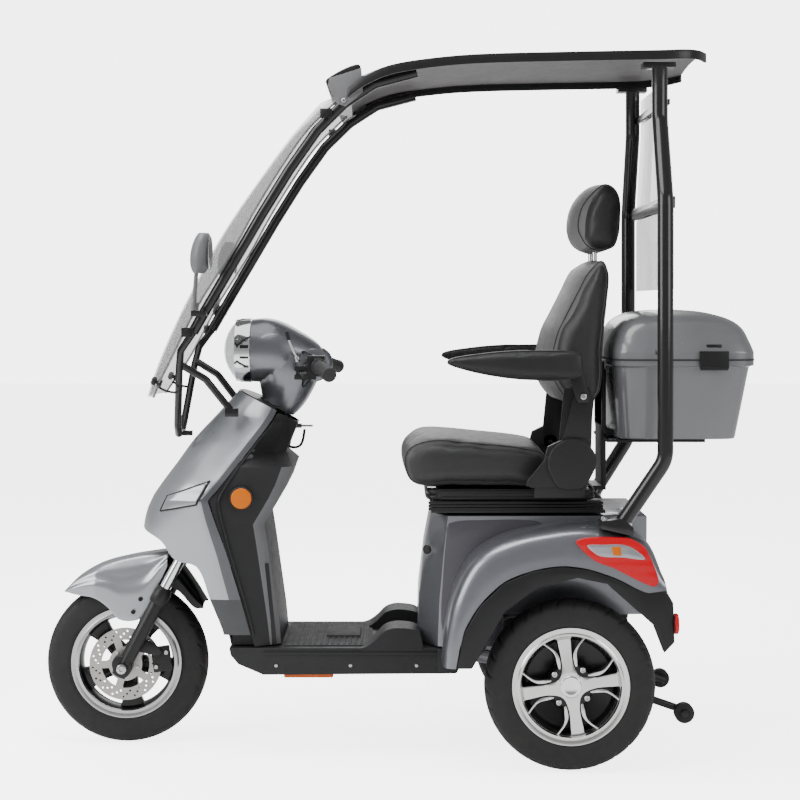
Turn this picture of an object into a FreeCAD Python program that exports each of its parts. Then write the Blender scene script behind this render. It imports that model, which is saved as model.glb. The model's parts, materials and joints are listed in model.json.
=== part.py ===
import FreeCAD
import Part
import math
import os

from FreeCAD import Vector

# A three-wheeled mobility scooter with a canopy, an armchair seat and a rear box.
# Millimetres. +X points forward, +Y to the rider's left, +Z up, ground at Z = 0.
# Shapes are drawn from a datum near mid-length and moved by DATUM_SHIFT on export,
# so that the origin ends up on the ground under the middle of the overall box.
DATUM_SHIFT = Vector(-11.5, 0, 0)

# Wheels
TYRE_RADIUS = 203.0
BEAD_RADIUS = 127.2
RIM_FLANGE_RADIUS = 138.5
FRONT_AXLE = Vector(685.6, 0, 203.0)
FRONT_TYRE_HALF = 38.0
REAR_AXLE_X = -401.4
REAR_TYRE_HALF = 42.0
REAR_TRACK_HALF = 280.0
REAR_HUB_SHAFT = 12.0
RUNNING_GAP = 0.05

# Steering head: a raked axis through STEER_BASE, heights measured along it
RAKE = math.radians(28.0)
STEER_BASE = Vector(635.0, 0, 202.0)
STEER_UP = Vector(-math.sin(RAKE), 0, math.cos(RAKE))
STEER_AHEAD = Vector(math.cos(RAKE), 0, math.sin(RAKE))
FORK_OFFSET = 45.2
FORK_HALF = 85.0
AXLE_STATION = -23.0
LEG_RADIUS = 18.0
STANCHION_RADIUS = 13.5
STEM_RADIUS = 14.0
HEAD_TUBE_LOW = 452.0
HEAD_TUBE_HIGH = 700.0
BAR_RADIUS = 11.0

# Shells and deck
WALL = 4.0
DECK_TOP = 268.0
DECK_HALF = 184.0
BODY_HALF = 200.0
FENDER_HALF = 350.0

# Frame
RAIL_HALF = 110.0
RAIL_RADIUS = 16.0
RAIL_LOW = 235.0
RAIL_HIGH = 345.0
SWING_PIVOT = Vector(-150.0, 0, RAIL_LOW)

# Canopy
POST_RADIUS = 18.5
POST_X = -619.5
FRONT_TUBE_RADIUS = 13.0
ROOF_HALF = 290.0

# Seat
CUSHION_HALF = 235.0
BACK_HALF = 220.0
BACK_PIVOT = Vector(-400.0, 0, 735.0)
ARM_PIVOT = Vector(-435.0, 0, 882.0)
HEADREST_POST_X = -486.0
HEADREST_POST_HALF = 50.0

# Rear box
BOX_HINGE = Vector(-506.0, 0, 972.0)
BOX_RIM_Z = 966.0


def block(x_low, x_high, y_low, y_high, z_low, z_high):
    corner = Vector(x_low, y_low, z_low)
    return Part.makeBox(x_high - x_low, y_high - y_low, z_high - z_low, corner)


def rod(start, end, radius):
    return Part.makeCylinder(radius, (end - start).Length, start, end - start)


def cross_rod(x, z, y_low, y_high, radius):
    return rod(Vector(x, y_low, z), Vector(x, y_high, z), radius)


def cross_ring(x, z, y_low, y_high, outer, inner):
    return cross_rod(x, z, y_low, y_high, outer).cut(cross_rod(x, z, y_low - 1, y_high + 1, inner))


def fuse(shapes):
    return shapes[0].fuse(shapes[1:])


def mirrored(shape):
    return shape.mirror(Vector(0, 0, 0), Vector(0, 1, 0))


def pair(shape):
    return [shape, mirrored(shape)]


def closed_wire(points):
    return Part.makePolygon(points + points[:1])


def side_plate(outline, y_low, y_high):
    """A plate with an outline given as (x, z) points, between two Y planes."""
    face = Part.Face(closed_wire([Vector(x, y_low, z) for x, z in outline]))
    return face.extrude(Vector(0, y_high - y_low, 0))


def bent_path(points, bend):
    """Straight stretches joined by arcs of one bend radius."""
    edges = []
    start = points[0]
    for before, corner, after in zip(points, points[1:], points[2:]):
        into = (corner - before).normalize()
        out = (after - corner).normalize()
        turn = into.getAngle(out)
        if turn < 0.02:
            continue
        reach = bend * math.tan(turn / 2)
        arc_start = corner - into * reach
        arc_end = corner + out * reach
        inward = (out - into).normalize()
        middle = corner + inward * (bend / math.cos(turn / 2) - bend)
        edges.append(Part.makeLine(start, arc_start))
        edges.append(Part.Arc(arc_start, middle, arc_end).toShape())
        start = arc_end
    edges.append(Part.makeLine(start, points[-1]))
    return Part.Wire(edges)


def bent_rod(points, radius, bend):
    path = bent_path(points, bend)
    ring = Part.Wire(Part.makeCircle(radius, points[0], points[1] - points[0]))
    return path.makePipeShell([ring], True, False)


def loft(wires, ruled=True):
    return Part.makeLoft(wires, True, ruled)


def level_wire(points, z):
    return closed_wire([Vector(x, y, z) for x, y in points])


def steer_point(station, ahead=0.0, side=0.0):
    """A point in the steering head's own frame: along, ahead of and beside the axis."""
    return STEER_BASE + STEER_UP * station + STEER_AHEAD * ahead + Vector(0, side, 0)


def export(node, *solids):
    shape = solids[0] if len(solids) == 1 else Part.makeCompound(list(solids))
    moved = shape.copy()
    moved.translate(DATUM_SHIFT)
    moved.exportStep("parts/" + node + ".step")


# ---------------------------------------------------------------- wheels

def revolve_profile(centre, profile):
    """Turn an outline of (y, radius) points about the wheel's axis through centre."""
    points = [centre + Vector(0, y, radius) for y, radius in profile]
    return Part.Face(closed_wire(points)).revolve(centre, Vector(0, 1, 0), 360)


def tyre(centre, half):
    """A tyre: beads between the rim's flanges, sidewalls and a rounded tread."""
    def at(y, radius):
        return centre + Vector(0, y * half, radius)

    bead = (half - 5.4) / half
    neck = 139.5
    shoulder = TYRE_RADIUS - 15
    edges = [
        Part.makeLine(at(-bead, BEAD_RADIUS), at(bead, BEAD_RADIUS)),
        Part.makeLine(at(bead, BEAD_RADIUS), at(bead, neck)),
        Part.Arc(at(bead, neck), at(1, 165), at(0.86, shoulder)).toShape(),
        Part.Arc(at(0.86, shoulder), at(0, TYRE_RADIUS), at(-0.86, shoulder)).toShape(),
        Part.Arc(at(-0.86, shoulder), at(-1, 165), at(-bead, neck)).toShape(),
        Part.makeLine(at(-bead, neck), at(-bead, BEAD_RADIUS)),
    ]
    return Part.Face(Part.Wire(edges)).revolve(centre, Vector(0, 1, 0), 360)


def rim_barrel(centre, half):
    """The rim's drop-centre barrel with a flange at each side."""
    inside = half - 5.2
    outside = half - 2.2
    floor = BEAD_RADIUS - 0.2
    return revolve_profile(centre, [
        (-outside, 119), (-outside, RIM_FLANGE_RADIUS), (-inside, RIM_FLANGE_RADIUS),
        (-inside, floor), (inside, floor), (inside, RIM_FLANGE_RADIUS),
        (outside, RIM_FLANGE_RADIUS), (outside, 119)])


def spokes(centre, count, first_angle, y_low, y_high, width_hub, width_rim):
    """Radial bars from inside the hub to inside the barrel's wall."""
    bars = []
    for index in range(count):
        bar = Part.Face(closed_wire([
            Vector(-width_hub / 2, y_low, 26), Vector(width_hub / 2, y_low, 26),
            Vector(width_rim / 2, y_low, 121), Vector(-width_rim / 2, y_low, 121)]))
        bar = bar.extrude(Vector(0, y_high - y_low, 0))
        bar.rotate(Vector(0, 0, 0), Vector(0, 1, 0), first_angle + index * 360 / count)
        bar.translate(centre)
        bars.append(bar)
    return bars


def front_rim():
    centre = FRONT_AXLE
    hub = cross_rod(centre.x, centre.z, -42, 42, 30)
    bore = cross_rod(centre.x, centre.z, -50, 60, 8 + RUNNING_GAP)
    flange = cross_rod(centre.x, centre.z, 30, 45.8, 42)
    bars = spokes(centre, 5, 42, -12, 12, 46, 34)
    return fuse([rim_barrel(centre, FRONT_TYRE_HALF), hub, flange] + bars).cut(bore)


def front_brake_disc():
    """A drilled disc on five tabs, bolted to the hub's left flange."""
    centre = FRONT_AXLE
    ring = cross_ring(centre.x, centre.z, 46, 50, 90, 60)
    carrier = cross_ring(centre.x, centre.z, 46, 50, 42, 20)
    tabs = []
    for index in range(5):
        tab = block(-9, 9, 46, 50, 38, 64)
        tab.rotate(Vector(0, 0, 0), Vector(0, 1, 0), index * 72 + 20)
        tab.translate(Vector(centre.x, 0, centre.z))
        tabs.append(tab)
    disc = fuse([ring, carrier] + tabs)
    holes = []
    for row, radius in enumerate((68, 75, 82)):
        for index in range(18):
            angle = math.radians(index * 20 + row * 6.7)
            x = centre.x + radius * math.cos(angle)
            z = centre.z + radius * math.sin(angle)
            holes.append(cross_rod(x, z, 45, 51, 2.6))
    return disc.cut(holes)


def rear_rim(side):
    """A four-spoke rim on a hub that turns on its half-shaft."""
    centre = Vector(REAR_AXLE_X, side * REAR_TRACK_HALF, TYRE_RADIUS)
    inner, outer = sorted((side * 238.0, side * 316.0))
    hub = cross_rod(centre.x, centre.z, inner, outer, 33)
    face_low, face_high = sorted((side * 292.0, side * 312.0))
    bars = spokes(Vector(centre.x, 0, centre.z), 4, 8.6, face_low, face_high, 50, 66)
    bore = cross_rod(centre.x, centre.z, inner - 1, outer + 1, REAR_HUB_SHAFT + RUNNING_GAP)
    cap_low, cap_high = sorted((side * 310.0, side * 319.0))
    cap = cross_rod(centre.x, centre.z, cap_low, cap_high, 24)
    return fuse([rim_barrel(centre, REAR_TYRE_HALF), hub] + bars).cut(bore).fuse(cap)


# ---------------------------------------------------------------- fork and steering

def fork_legs():
    """Two sleeves that slide on the stanchions, with the front axle through their feet."""
    solids = []
    for side in (-1, 1):
        foot = steer_point(AXLE_STATION - 24, FORK_OFFSET, side * FORK_HALF)
        top = steer_point(190, FORK_OFFSET, side * FORK_HALF)
        leg = rod(foot, top, LEG_RADIUS)
        bore_floor = steer_point(2, FORK_OFFSET, side * FORK_HALF)
        bore_top = steer_point(195, FORK_OFFSET, side * FORK_HALF)
        solids.append(leg.cut(rod(bore_floor, bore_top, STANCHION_RADIUS + RUNNING_GAP)))
    axle = cross_rod(FRONT_AXLE.x, FRONT_AXLE.z, -104, 104, 8)
    nuts = [cross_rod(FRONT_AXLE.x, FRONT_AXLE.z, low, low + 9, 13) for low in (-112, 103)]
    lug = steer_point(150, FORK_OFFSET, 62.3)
    arch = [rod(lug, lug + Vector(0, 8, 0), 9)]
    arch.append(mirrored(arch[0]))
    return fuse(solids + [axle] + nuts + arch)


FENDER_OUTLINE = [
    (841, 383), (806, 418), (752, 449), (700, 465), (640, 477), (577, 484), (548, 455),
    (487, 354), (504, 345), (570, 400), (640, 400), (651, 313), (699, 314), (742, 357),
    (770, 379), (810, 372)]


def front_fender():
    """A mudguard with side skirts, on lugs between the fork legs."""
    skin = side_plate(FENDER_OUTLINE, -62, 62)
    hollow = side_plate([
        (850, 340), (836, 376), (803, 411), (750, 442), (700, 458), (640, 470), (580, 476),
        (554, 452), (494, 353), (500, 300), (850, 300)], -58, 58)
    return skin.cut(hollow)


def front_caliper():
    """A caliper straddling the disc behind the left leg."""
    centre = steer_point(32, FORK_OFFSET - 74, 0)
    body = block(-22, 22, 40, 66, -30, 30)
    body.rotate(Vector(0, 0, 0), Vector(0, 1, 0), 8)
    body.translate(centre)
    return body.cut(cross_rod(FRONT_AXLE.x, FRONT_AXLE.z, 44.5, 51.5, 93))


def fork_stanchions():
    return [rod(steer_point(40, FORK_OFFSET, side * FORK_HALF),
                steer_point(384, FORK_OFFSET, side * FORK_HALF), STANCHION_RADIUS)
            for side in (-1, 1)]


def bar_path():
    half = [Vector(248, 0, 930), Vector(236, 72, 944), Vector(200, 165, 952), Vector(167, 292, 934)]
    left = half[1:]
    right = [Vector(p.x, -p.y, p.z) for p in reversed(left)]
    return right + half


def handlebar(radius=BAR_RADIUS):
    return bent_rod(bar_path(), radius, 24)


def steering_stem():
    """The lower yoke, the stem through the head tube and the handlebar clamp."""
    stem = rod(steer_point(386), steer_point(812), STEM_RADIUS)
    yoke_ends = [rod(steer_point(385, FORK_OFFSET, side * FORK_HALF),
                     steer_point(409, FORK_OFFSET, side * FORK_HALF), 21) for side in (-1, 1)]
    plate = Part.makeBox(52, 172, 22, Vector(0, 0, 0))
    plate.translate(Vector(-26, -86, -11))
    plate.rotate(Vector(0, 0, 0), Vector(0, 1, 0), -math.degrees(RAKE))
    plate.translate(steer_point(397, FORK_OFFSET - 8))
    boss = rod(steer_point(386), steer_point(408), 30)
    clamp = rod(steer_point(800), steer_point(846), 22)
    return fuse([stem, plate, boss, clamp] + yoke_ends).cut(handlebar(BAR_RADIUS + RUNNING_GAP))


def cowl_body(inset):
    """The headlight cowl: a neck round the stem that swells into a forward bucket."""
    neck = []
    for station, ahead, length, width in ((718, 12, 44, 34), (760, 22, 66, 52), (800, 34, 80, 66),
                                          (850, 40, 84, 70)):
        centre = steer_point(station, ahead)
        ellipse = Part.Ellipse(Vector(0, 0, 0), length - inset, width - inset).toShape()
        wire = Part.Wire(ellipse)
        wire.rotate(Vector(0, 0, 0), Vector(0, 1, 0), -math.degrees(RAKE))
        wire.translate(centre)
        neck.append(wire)
    bucket = []
    for x, z, radius in ((196, 962, 26), (215, 964, 46), (262, 974, 66), (310, 983, 79),
                         (360, 985, 80), (402 - inset, 985, 78)):
        ring = Part.makeCircle(radius - inset, Vector(x + inset, 0, z), Vector(1, 0, 0))
        bucket.append(Part.Wire(ring))
    return fuse([loft(neck, False), loft(bucket, False)])


def headlight_shell():
    shell = cowl_body(0).cut(cowl_body(3))
    stem_hole = rod(steer_point(700), steer_point(740), STEM_RADIUS + 6)
    lens_hole = rod(Vector(380, 0, 985), Vector(420, 0, 985), 73)
    return shell.cut([stem_hole, lens_hole, handlebar(BAR_RADIUS + 2)])


def headlight_lens():
    ring = rod(Vector(403, 0, 985), Vector(412, 0, 985), 78)
    bulge = Part.makeSphere(104, Vector(340, 0, 985))
    front = bulge.common(rod(Vector(412, 0, 985), Vector(450, 0, 985), 74))
    return fuse([ring, front])


def grip(side, bore):
    """A rubber grip along the last straight of the handlebar."""
    start = Vector(200, 165, 952)
    end = Vector(167, 292, 934)
    along = (end - start).normalize()
    low = start + along * 12
    high = end + along * 2
    sleeve = rod(low, high, 16.5)
    hole = rod(low - along, end + along * 0.3, bore)
    shape = sleeve.cut(hole)
    return shape if side > 0 else mirrored(shape)


LEVER_PIVOT = Vector(246, 138, 933)


def switch_housings():
    """Switch blocks on the bar, each with the brake lever's perch and pin."""
    block_left = block(184, 226, 112, 160, 925, 975)
    perch = block(205, 258, 124, 150, 917, 949)
    slot = block(228, 270, 110, 162, 928.4, 937.6)
    pin = rod(LEVER_PIVOT - Vector(0, 0, 14), LEVER_PIVOT + Vector(0, 0, 14), 4)
    housing = block_left.fuse(perch).cut([slot, handlebar(BAR_RADIUS + RUNNING_GAP)]).fuse(pin)
    return pair(housing)


def brake_lever(side):
    """A lever on a vertical pin, reaching along the front of its grip."""
    eye = rod(LEVER_PIVOT - Vector(0, 0, 4), LEVER_PIVOT + Vector(0, 0, 4), 9)
    tip = Vector(226, 284, 933)
    blade = Part.Face(closed_wire([
        Vector(251, 140, 929.5), Vector(241, 140, 929.5), Vector(229, 190, 929.5),
        Vector(220, 280, 929.5), Vector(231, 281, 929.5), Vector(241, 192, 929.5)]))
    blade = blade.extrude(Vector(0, 0, 7))
    knob = rod(tip - Vector(0, 0, 5), tip + Vector(0, 0, 5), 7)
    bore = rod(LEVER_PIVOT - Vector(0, 0, 9), LEVER_PIVOT + Vector(0, 0, 9), 4 + RUNNING_GAP)
    lever = fuse([eye, blade, knob]).cut(bore)
    return lever if side > 0 else mirrored(lever)


# ---------------------------------------------------------------- frame

def head_tube():
    bore = rod(steer_point(HEAD_TUBE_LOW - 2), steer_point(HEAD_TUBE_HIGH + 2), 21)
    return rod(steer_point(HEAD_TUBE_LOW), steer_point(HEAD_TUBE_HIGH), 25).cut(bore)


def steering_bearings():
    """A ball-race ring at each end of the head tube."""
    rings = []
    for low in (HEAD_TUBE_LOW, HEAD_TUBE_HIGH - 16):
        ring = rod(steer_point(low), steer_point(low + 16), 20.9)
        rings.append(ring.cut(rod(steer_point(low - 1), steer_point(low + 17), STEM_RADIUS + RUNNING_GAP)))
    return rings


def chassis_frame():
    """Two rails, a gooseneck to the head tube, seat uprights, tray and anti-tip arms."""
    members = []
    for side in (-1, 1):
        y = side * RAIL_HALF
        members.append(bent_rod([
            Vector(320, y, RAIL_LOW), Vector(-180, y, RAIL_LOW), Vector(-250, y, RAIL_HIGH),
            Vector(-560, y, RAIL_HIGH)], RAIL_RADIUS, 50))
        for x in (-125, -470):
            foot = RAIL_LOW if x > -200 else RAIL_HIGH
            members.append(rod(Vector(x, y, foot), Vector(x, y, 597.5), 12))
        members.append(bent_rod([
            Vector(-545, y, RAIL_HIGH), Vector(-590, side * 160, 180), Vector(-608, side * 178, 144),
            Vector(-696, side * 178, 114)], 9, 20))
        members.append(cross_rod(-685, 116, *sorted((side * 176, side * 216)), 5))
        members.append(cross_rod(-685, 116, *sorted((side * 212, side * 217)), 9))
    members.append(cross_rod(312, RAIL_LOW, -RAIL_HALF, RAIL_HALF, RAIL_RADIUS))
    members.append(cross_rod(60, RAIL_LOW, -RAIL_HALF, RAIL_HALF, 12))
    members.append(cross_rod(SWING_PIVOT.x, SWING_PIVOT.z, -RAIL_HALF, RAIL_HALF, 8))
    for x in (-262, -470, -552):
        members.append(cross_rod(x, RAIL_HIGH, -RAIL_HALF, RAIL_HALF, 11))
    members.append(block(-430, -150, -92, 92, 354, 360))
    members.append(bent_rod([
        Vector(312, 0, RAIL_LOW), Vector(352, 0, 300), Vector(366, 0, 515), Vector(414, 0, 625)],
        20, 40))
    frame = fuse(members)
    # the rails' front end is closed by the head tube, bored after the gooseneck joins it
    frame = frame.cut(rod(steer_point(HEAD_TUBE_LOW - 60), steer_point(HEAD_TUBE_HIGH), 21))
    frame = frame.fuse(head_tube())
    return frame.fuse(shock_rods())


SHOCK_FOOT = Vector(-424, 150, 240)
SHOCK_HEAD = Vector(-388, 150, 446)


def shock_rods():
    """Damper rods on a bracket from each rear upright, reaching down into the shocks."""
    along = (SHOCK_FOOT - SHOCK_HEAD).normalize()
    shaft = rod(SHOCK_HEAD, SHOCK_HEAD + along * 120, 5)
    cap = rod(SHOCK_HEAD + along * 4, SHOCK_HEAD - along * 10, 20)
    arm = rod(Vector(-470, RAIL_HALF, 452), SHOCK_HEAD - along * 3, 9)
    piece = fuse([shaft, cap, arm])
    return pair(piece)


def shock_absorbers():
    """Damper tubes with a spring seat, standing on the axle beam."""
    along = (SHOCK_HEAD - SHOCK_FOOT).normalize()
    tubes = []
    for side in (-1, 1):
        foot = Vector(SHOCK_FOOT.x, side * SHOCK_FOOT.y, SHOCK_FOOT.z)
        body = rod(foot + along * 5.2, foot + along * 150, 17)
        seat = rod(foot + along * 40, foot + along * 46, 21)
        bore = rod(foot + along * 50, foot + along * 151, 13.5)
        tubes.append(body.fuse(seat).cut(bore))
    return tubes


def rear_axle_housing():
    """Motor, differential, half-shafts and the swinging arms in one unit."""
    x = REAR_AXLE_X
    z = TYRE_RADIUS
    beam = cross_rod(x, z, -226, 226, 30)
    gear_case = cross_rod(x, z, -60, 60, 68)
    motor = cross_rod(x, z, 55, 120, 56)
    shafts = cross_rod(x, z, -308, 308, REAR_HUB_SHAFT)
    pieces = [beam, gear_case, motor, shafts]
    along = (SHOCK_HEAD - SHOCK_FOOT).normalize()
    for side in (-1, 1):
        low, high = sorted((side * 74.0, side * 88.0))
        arm = side_plate([(x, 180), (x, 226), (-150, 248), (-150, 222)], low, high)
        sleeve = cross_rod(SWING_PIVOT.x, SWING_PIVOT.z, low, high, 15)
        foot = Vector(SHOCK_FOOT.x, side * SHOCK_FOOT.y, SHOCK_FOOT.z)
        stand = rod(foot - along * 26, foot + along * 5, 13)
        pieces.extend([arm, sleeve, stand])
    bore = cross_rod(SWING_PIVOT.x, SWING_PIVOT.z, -92, 92, 8 + RUNNING_GAP)
    return fuse(pieces).cut(bore)


def battery_pack():
    return [block(-426, -290, -86, 86, 360.2, 528), block(-286, -152, -86, 86, 360.2, 528)]


def motor_controller():
    return block(-400, -250, -60, 60, 528.2, 568)


def anti_tip_roller(side):
    low, high = sorted((side * 188.5, side * 211.0))
    return cross_ring(-685, 116, low, high, 24, 5 + RUNNING_GAP)


# ---------------------------------------------------------------- front body

SHIELD_LEVELS = [
    # height, centre of the front, rear edge, half-width at that edge
    (900, 392, 283, 104), (860, 428, 296, 112), (821, 464, 313, 121), (764, 517, 354, 147),
    (700, 564, 404, 178), (663, 592, 433, 197), (627, 617, 464, 207), (590, 634, 452, 205),
    (550, 643, 438, 203), (500, 645, 420, 199), (440, 645, 402, 195), (380, 645, 384, 192),
    (300, 645, 362, 188)]
SHIELD_SWEEP = [(0.0, 1.0), (0.35, 0.94), (0.65, 0.76), (0.88, 0.40), (1.0, 0.0)]


def shield_skin(outset, thickness):
    """A lofted wall that follows the front shield, moved outwards by outset."""
    wires = []
    for z, front, rear, half in SHIELD_LEVELS:
        outer = shield_curve(front, rear, half, outset)
        inner = shield_curve(front, rear, half, outset - thickness)
        wires.append(level_wire(outer + inner[::-1], z))
    return loft(wires)


def shield_curve(front, rear, half, outset):
    left = []
    for across, ahead in SHIELD_SWEEP:
        x = rear + (front - rear) * ahead + outset * ahead
        y = half * across + outset * across
        left.append((x, y))
    right = [(x, -y) for x, y in left[1:]]
    return left[::-1] + right


def front_shield():
    """The silver front fairing: top, nose and two side wings round the wheel well."""
    skin = shield_skin(0, WALL)
    above = side_plate([(250, 822), (300, 838), (402, 887), (440, 900), (440, 960), (250, 960)],
                       -300, 300)
    wheel_well = side_plate([
        (720, 553), (643, 549), (584, 523), (549, 480), (492, 463), (460, 385), (431, 314),
        (424, 280), (720, 280)], -300, 300)
    tunnel = rod(steer_point(60), steer_point(425), 120)
    neck_room = rod(steer_point(705), steer_point(800), 100)
    return skin.cut([above, wheel_well, tunnel, neck_room])


def front_marker_lights():
    """A lens on each flank of the fairing, standing just proud of it."""
    layer = shield_skin(3.6, 3.2)
    left = side_plate([(584, 597), (567, 634), (520, 654), (461, 673), (492, 617)], 60, 260)
    lens = layer.common(left)
    return pair(lens)


LEG_SHIELD_LEVELS = [
    # height, rider-side wall, its half-width, front edge, half-width there
    (834, 262, 50, 301, 96), (812, 254, 58, 315, 115), (764, 273, 68, 353, 141),
    (735, 284, 78, 376, 155), (705, 262, 168, 400, 172), (663, 277, 172, 430, 190),
    (627, 295, 174, 461, 200), (566, 331, 174, 442, 198), (510, 322, 172, 421, 194),
    (400, 306, 168, 388, 187), (330, 296, 166, 369, 184), (272, 290, 164, 352, 182)]


def inner_leg_shield():
    """The dark panel facing the rider, its flanks and the splash wall behind the wheel."""
    wires = []
    for z, wall_x, wall_half, edge_x, edge_half in LEG_SHIELD_LEVELS:
        outer = [(edge_x, edge_half), (wall_x + 26, wall_half), (wall_x, wall_half - 22)]
        inner = [(edge_x, edge_half - WALL), (wall_x + 28, wall_half - WALL),
                 (wall_x + WALL, wall_half - 26)]
        outer_ring = outer + [(x, -y) for x, y in reversed(outer)]
        inner_ring = inner + [(x, -y) for x, y in reversed(inner)]
        wires.append(level_wire(outer_ring + inner_ring[::-1], z))
    shell = loft(wires)
    splash = side_plate([
        (411, 272), (421, 314), (419, 400), (410, 478), (406, 478), (415, 400), (417, 314),
        (407, 272)], -160, 160)
    ties = [side_plate([(300, 272), (320, 470), (410, 470), (408, 272)], low, low + 3)
            for low in (-160, 157)]
    key_hole = rod(Vector(230, -34, 792), Vector(300, -34, 792), 6 + RUNNING_GAP)
    column_room = rod(steer_point(600), steer_point(760), 27)
    above = rod(steer_point(712), steer_point(900), 200)
    return fuse([shell, splash] + ties).cut([key_hole, column_room, above])


def ignition_key():
    barrel = rod(Vector(250, -34, 792), Vector(288, -34, 792), 6)
    bow = block(222, 252, -45, -23, 790, 794)
    return barrel.fuse(bow)


def side_reflectors():
    return pair(cross_rod(383.5, 632, 195, 202, 27))


# ---------------------------------------------------------------- deck

def floor_pan():
    """The deck: a tray turned down at its edges, with raised heels beside the seat box."""
    shape = side_plate([
        (-90, 206), (331, 203), (392, 229), (410, 250), (414, DECK_TOP), (-90, DECK_TOP)],
        -DECK_HALF, DECK_HALF)
    hollow = side_plate([
        (-95, 190), (322, 190), (337, 209), (387, 232), (405, 252), (409, 264), (-95, 264)],
        -DECK_HALF + WALL, DECK_HALF - WALL)
    heel = side_plate([(-36, DECK_TOP), (-36, 306), (10, 312), (40, 300), (66, DECK_TOP)],
                      84, DECK_HALF)
    neck = bent_rod([Vector(300, 0, 216), Vector(352, 0, 300), Vector(372, 0, 470)], 24, 30)
    return shape.cut(hollow).fuse(pair(heel)).cut(neck)


def floor_mat():
    """Ribbed rubber mats either side of a raised centre block."""
    base = block(70, 282, -158, 158, DECK_TOP + 0.2, DECK_TOP + 3)
    ribs = [block(78 + 14 * index, 84 + 14 * index, -150, 150, DECK_TOP + 3, DECK_TOP + 5)
            for index in range(15)]
    centre = block(100, 182, -60, 60, DECK_TOP + 3, DECK_TOP + 9)
    return fuse([base, centre] + ribs)


def belly_tray():
    outer = block(164, 285, -126, 126, 184, 218)
    return outer.cut(block(167, 282, -123, 123, 187, 230))


# ---------------------------------------------------------------- rear body

BODY_LEVELS = [
    # height, front face, corner X, corner half-width
    (271, -43, -92, 180), (385, -46, -96, 186), (500, -60, -106, 195), (590, -77, -116, 200)]


def rear_body():
    """The seat box: a shell with open underside, cut away over the axle."""
    def wire(level, inset):
        z, face_x, corner_x, half = level
        points = [(face_x - inset, 110), (corner_x - inset, half - inset), (-596 + inset, half - inset)]
        points += [(x, -y) for x, y in reversed(points)]
        return level_wire(points, z)

    outer = loft([wire(level, 0) for level in BODY_LEVELS])
    inner_levels = [(260, -43, -92, 180)] + BODY_LEVELS[1:-1] + [(586, -76, -115.5, 200)]
    inner = loft([wire(level, WALL) for level in inner_levels])
    axle_room = block(-610, -250, -210, 210, 250, 350)
    holes = [rod(Vector(x, y, 570), Vector(x, y, 600), 13)
             for x in (-125, -470) for y in (-RAIL_HALF, RAIL_HALF)]
    return outer.cut([inner, axle_room] + holes)


ARCH_EDGE = [
    (-130, 251), (-149, 337), (-185, 399), (-242, 453), (-305, 479), (-376, 491), (-439, 484),
    (-505, 462), (-572, 430), (-621, 436)]
FENDER_RIDGE = [
    (-616, 462), (-584, 538), (-528, 562), (-441, 579), (-352, 573), (-244, 548), (-173, 503),
    (-128, 423), (-105, 320), (-100, 251)]
TAIL_LIGHT = [(-412, 550), (-528, 556), (-572, 534), (-603, 456), (-590, 443), (-496, 487), (-450, 506)]


def scaled_outline(outline, factor):
    """An outline drawn towards or away from the wheel's axle."""
    return [(REAR_AXLE_X + (x - REAR_AXLE_X) * factor, TYRE_RADIUS + (z - TYRE_RADIUS) * factor)
            for x, z in outline]


def rear_fenders():
    """A hollow guard over each rear wheel, open to the wheel below."""
    outer = side_plate(ARCH_EDGE + FENDER_RIDGE, BODY_HALF + 0.5, FENDER_HALF)
    inner = side_plate(scaled_outline(FENDER_RIDGE, 0.985) + [(-130, 200), (-600, 200)],
                       BODY_HALF - 2, FENDER_HALF - 5)
    lens_room = side_plate(TAIL_LIGHT, FENDER_HALF - 32, FENDER_HALF + 5)
    return pair(outer.cut([inner, lens_room]))


def fender_trims():
    """Black arch lips along the lower edge of each guard, deepest at the rear corner."""
    outer_edge = scaled_outline(ARCH_EDGE, 0.995)
    outline = outer_edge + [
        (-637, 405), (-640, 313), (-616, 288), (-591, 353), (-483, 449), (-415, 463),
        (-325, 443), (-246, 386), (-178, 268), (-168, 251)]
    lip = side_plate(outline, FENDER_HALF - 26, FENDER_HALF)
    return pair(lip)


def rear_lamps():
    """Tail-light lenses let into the guards, and a round reflector on each corner."""
    solids = []
    outline = []
    centre_x = sum(x for x, z in TAIL_LIGHT) / len(TAIL_LIGHT)
    centre_z = sum(z for x, z in TAIL_LIGHT) / len(TAIL_LIGHT)
    for x, z in TAIL_LIGHT:
        outline.append((centre_x + (x - centre_x) * 0.985, centre_z + (z - centre_z) * 0.985))
    solids += pair(side_plate(outline, FENDER_HALF - 30, FENDER_HALF + 1))
    solids += pair(rod(Vector(-641, 338, 355), Vector(-651, 338, 355), 24))
    return solids


def plate_holder():
    """The plate bracket and its lamp behind the seat box."""
    stay = block(-602, -596.5, -30, 30, 395, 470)
    shelf = block(-640, -600, -60, 60, 392, 396)
    plate = block(-644, -640, -75, 75, 300, 396)
    lamp = rod(Vector(-622, -34, 403), Vector(-622, 34, 403), 8)
    return fuse([stay, shelf, plate, lamp])


# ---------------------------------------------------------------- canopy

def canopy_rear_frame():
    """Two bent posts with feet on the guards, and two crossbars."""
    members = []
    for side in (-1, 1):
        members.append(bent_rod([
            Vector(-519, side * 318, 584), Vector(POST_X, side * 340, 738),
            Vector(POST_X, side * 340, 1345), Vector(POST_X, side * 247, 1545),
            Vector(POST_X, side * 247, 1672)], POST_RADIUS, 70))
        low, high = sorted((side * 296.0, side * 342.0))
        members.append(side_plate([(-468, 577), (-545, 559.5), (-545, 580), (-520, 600), (-468, 594)],
                                  low, high))
        low, high = sorted((side * 222.0, side * 272.0))
        members.append(block(-655, -578, low, high, 1664, 1676))
    members.append(block(-636, -624, -330, 330, 1326, 1356))
    members.append(block(-634, -626, -245, 245, 1578, 1594))
    return fuse(members)


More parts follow.
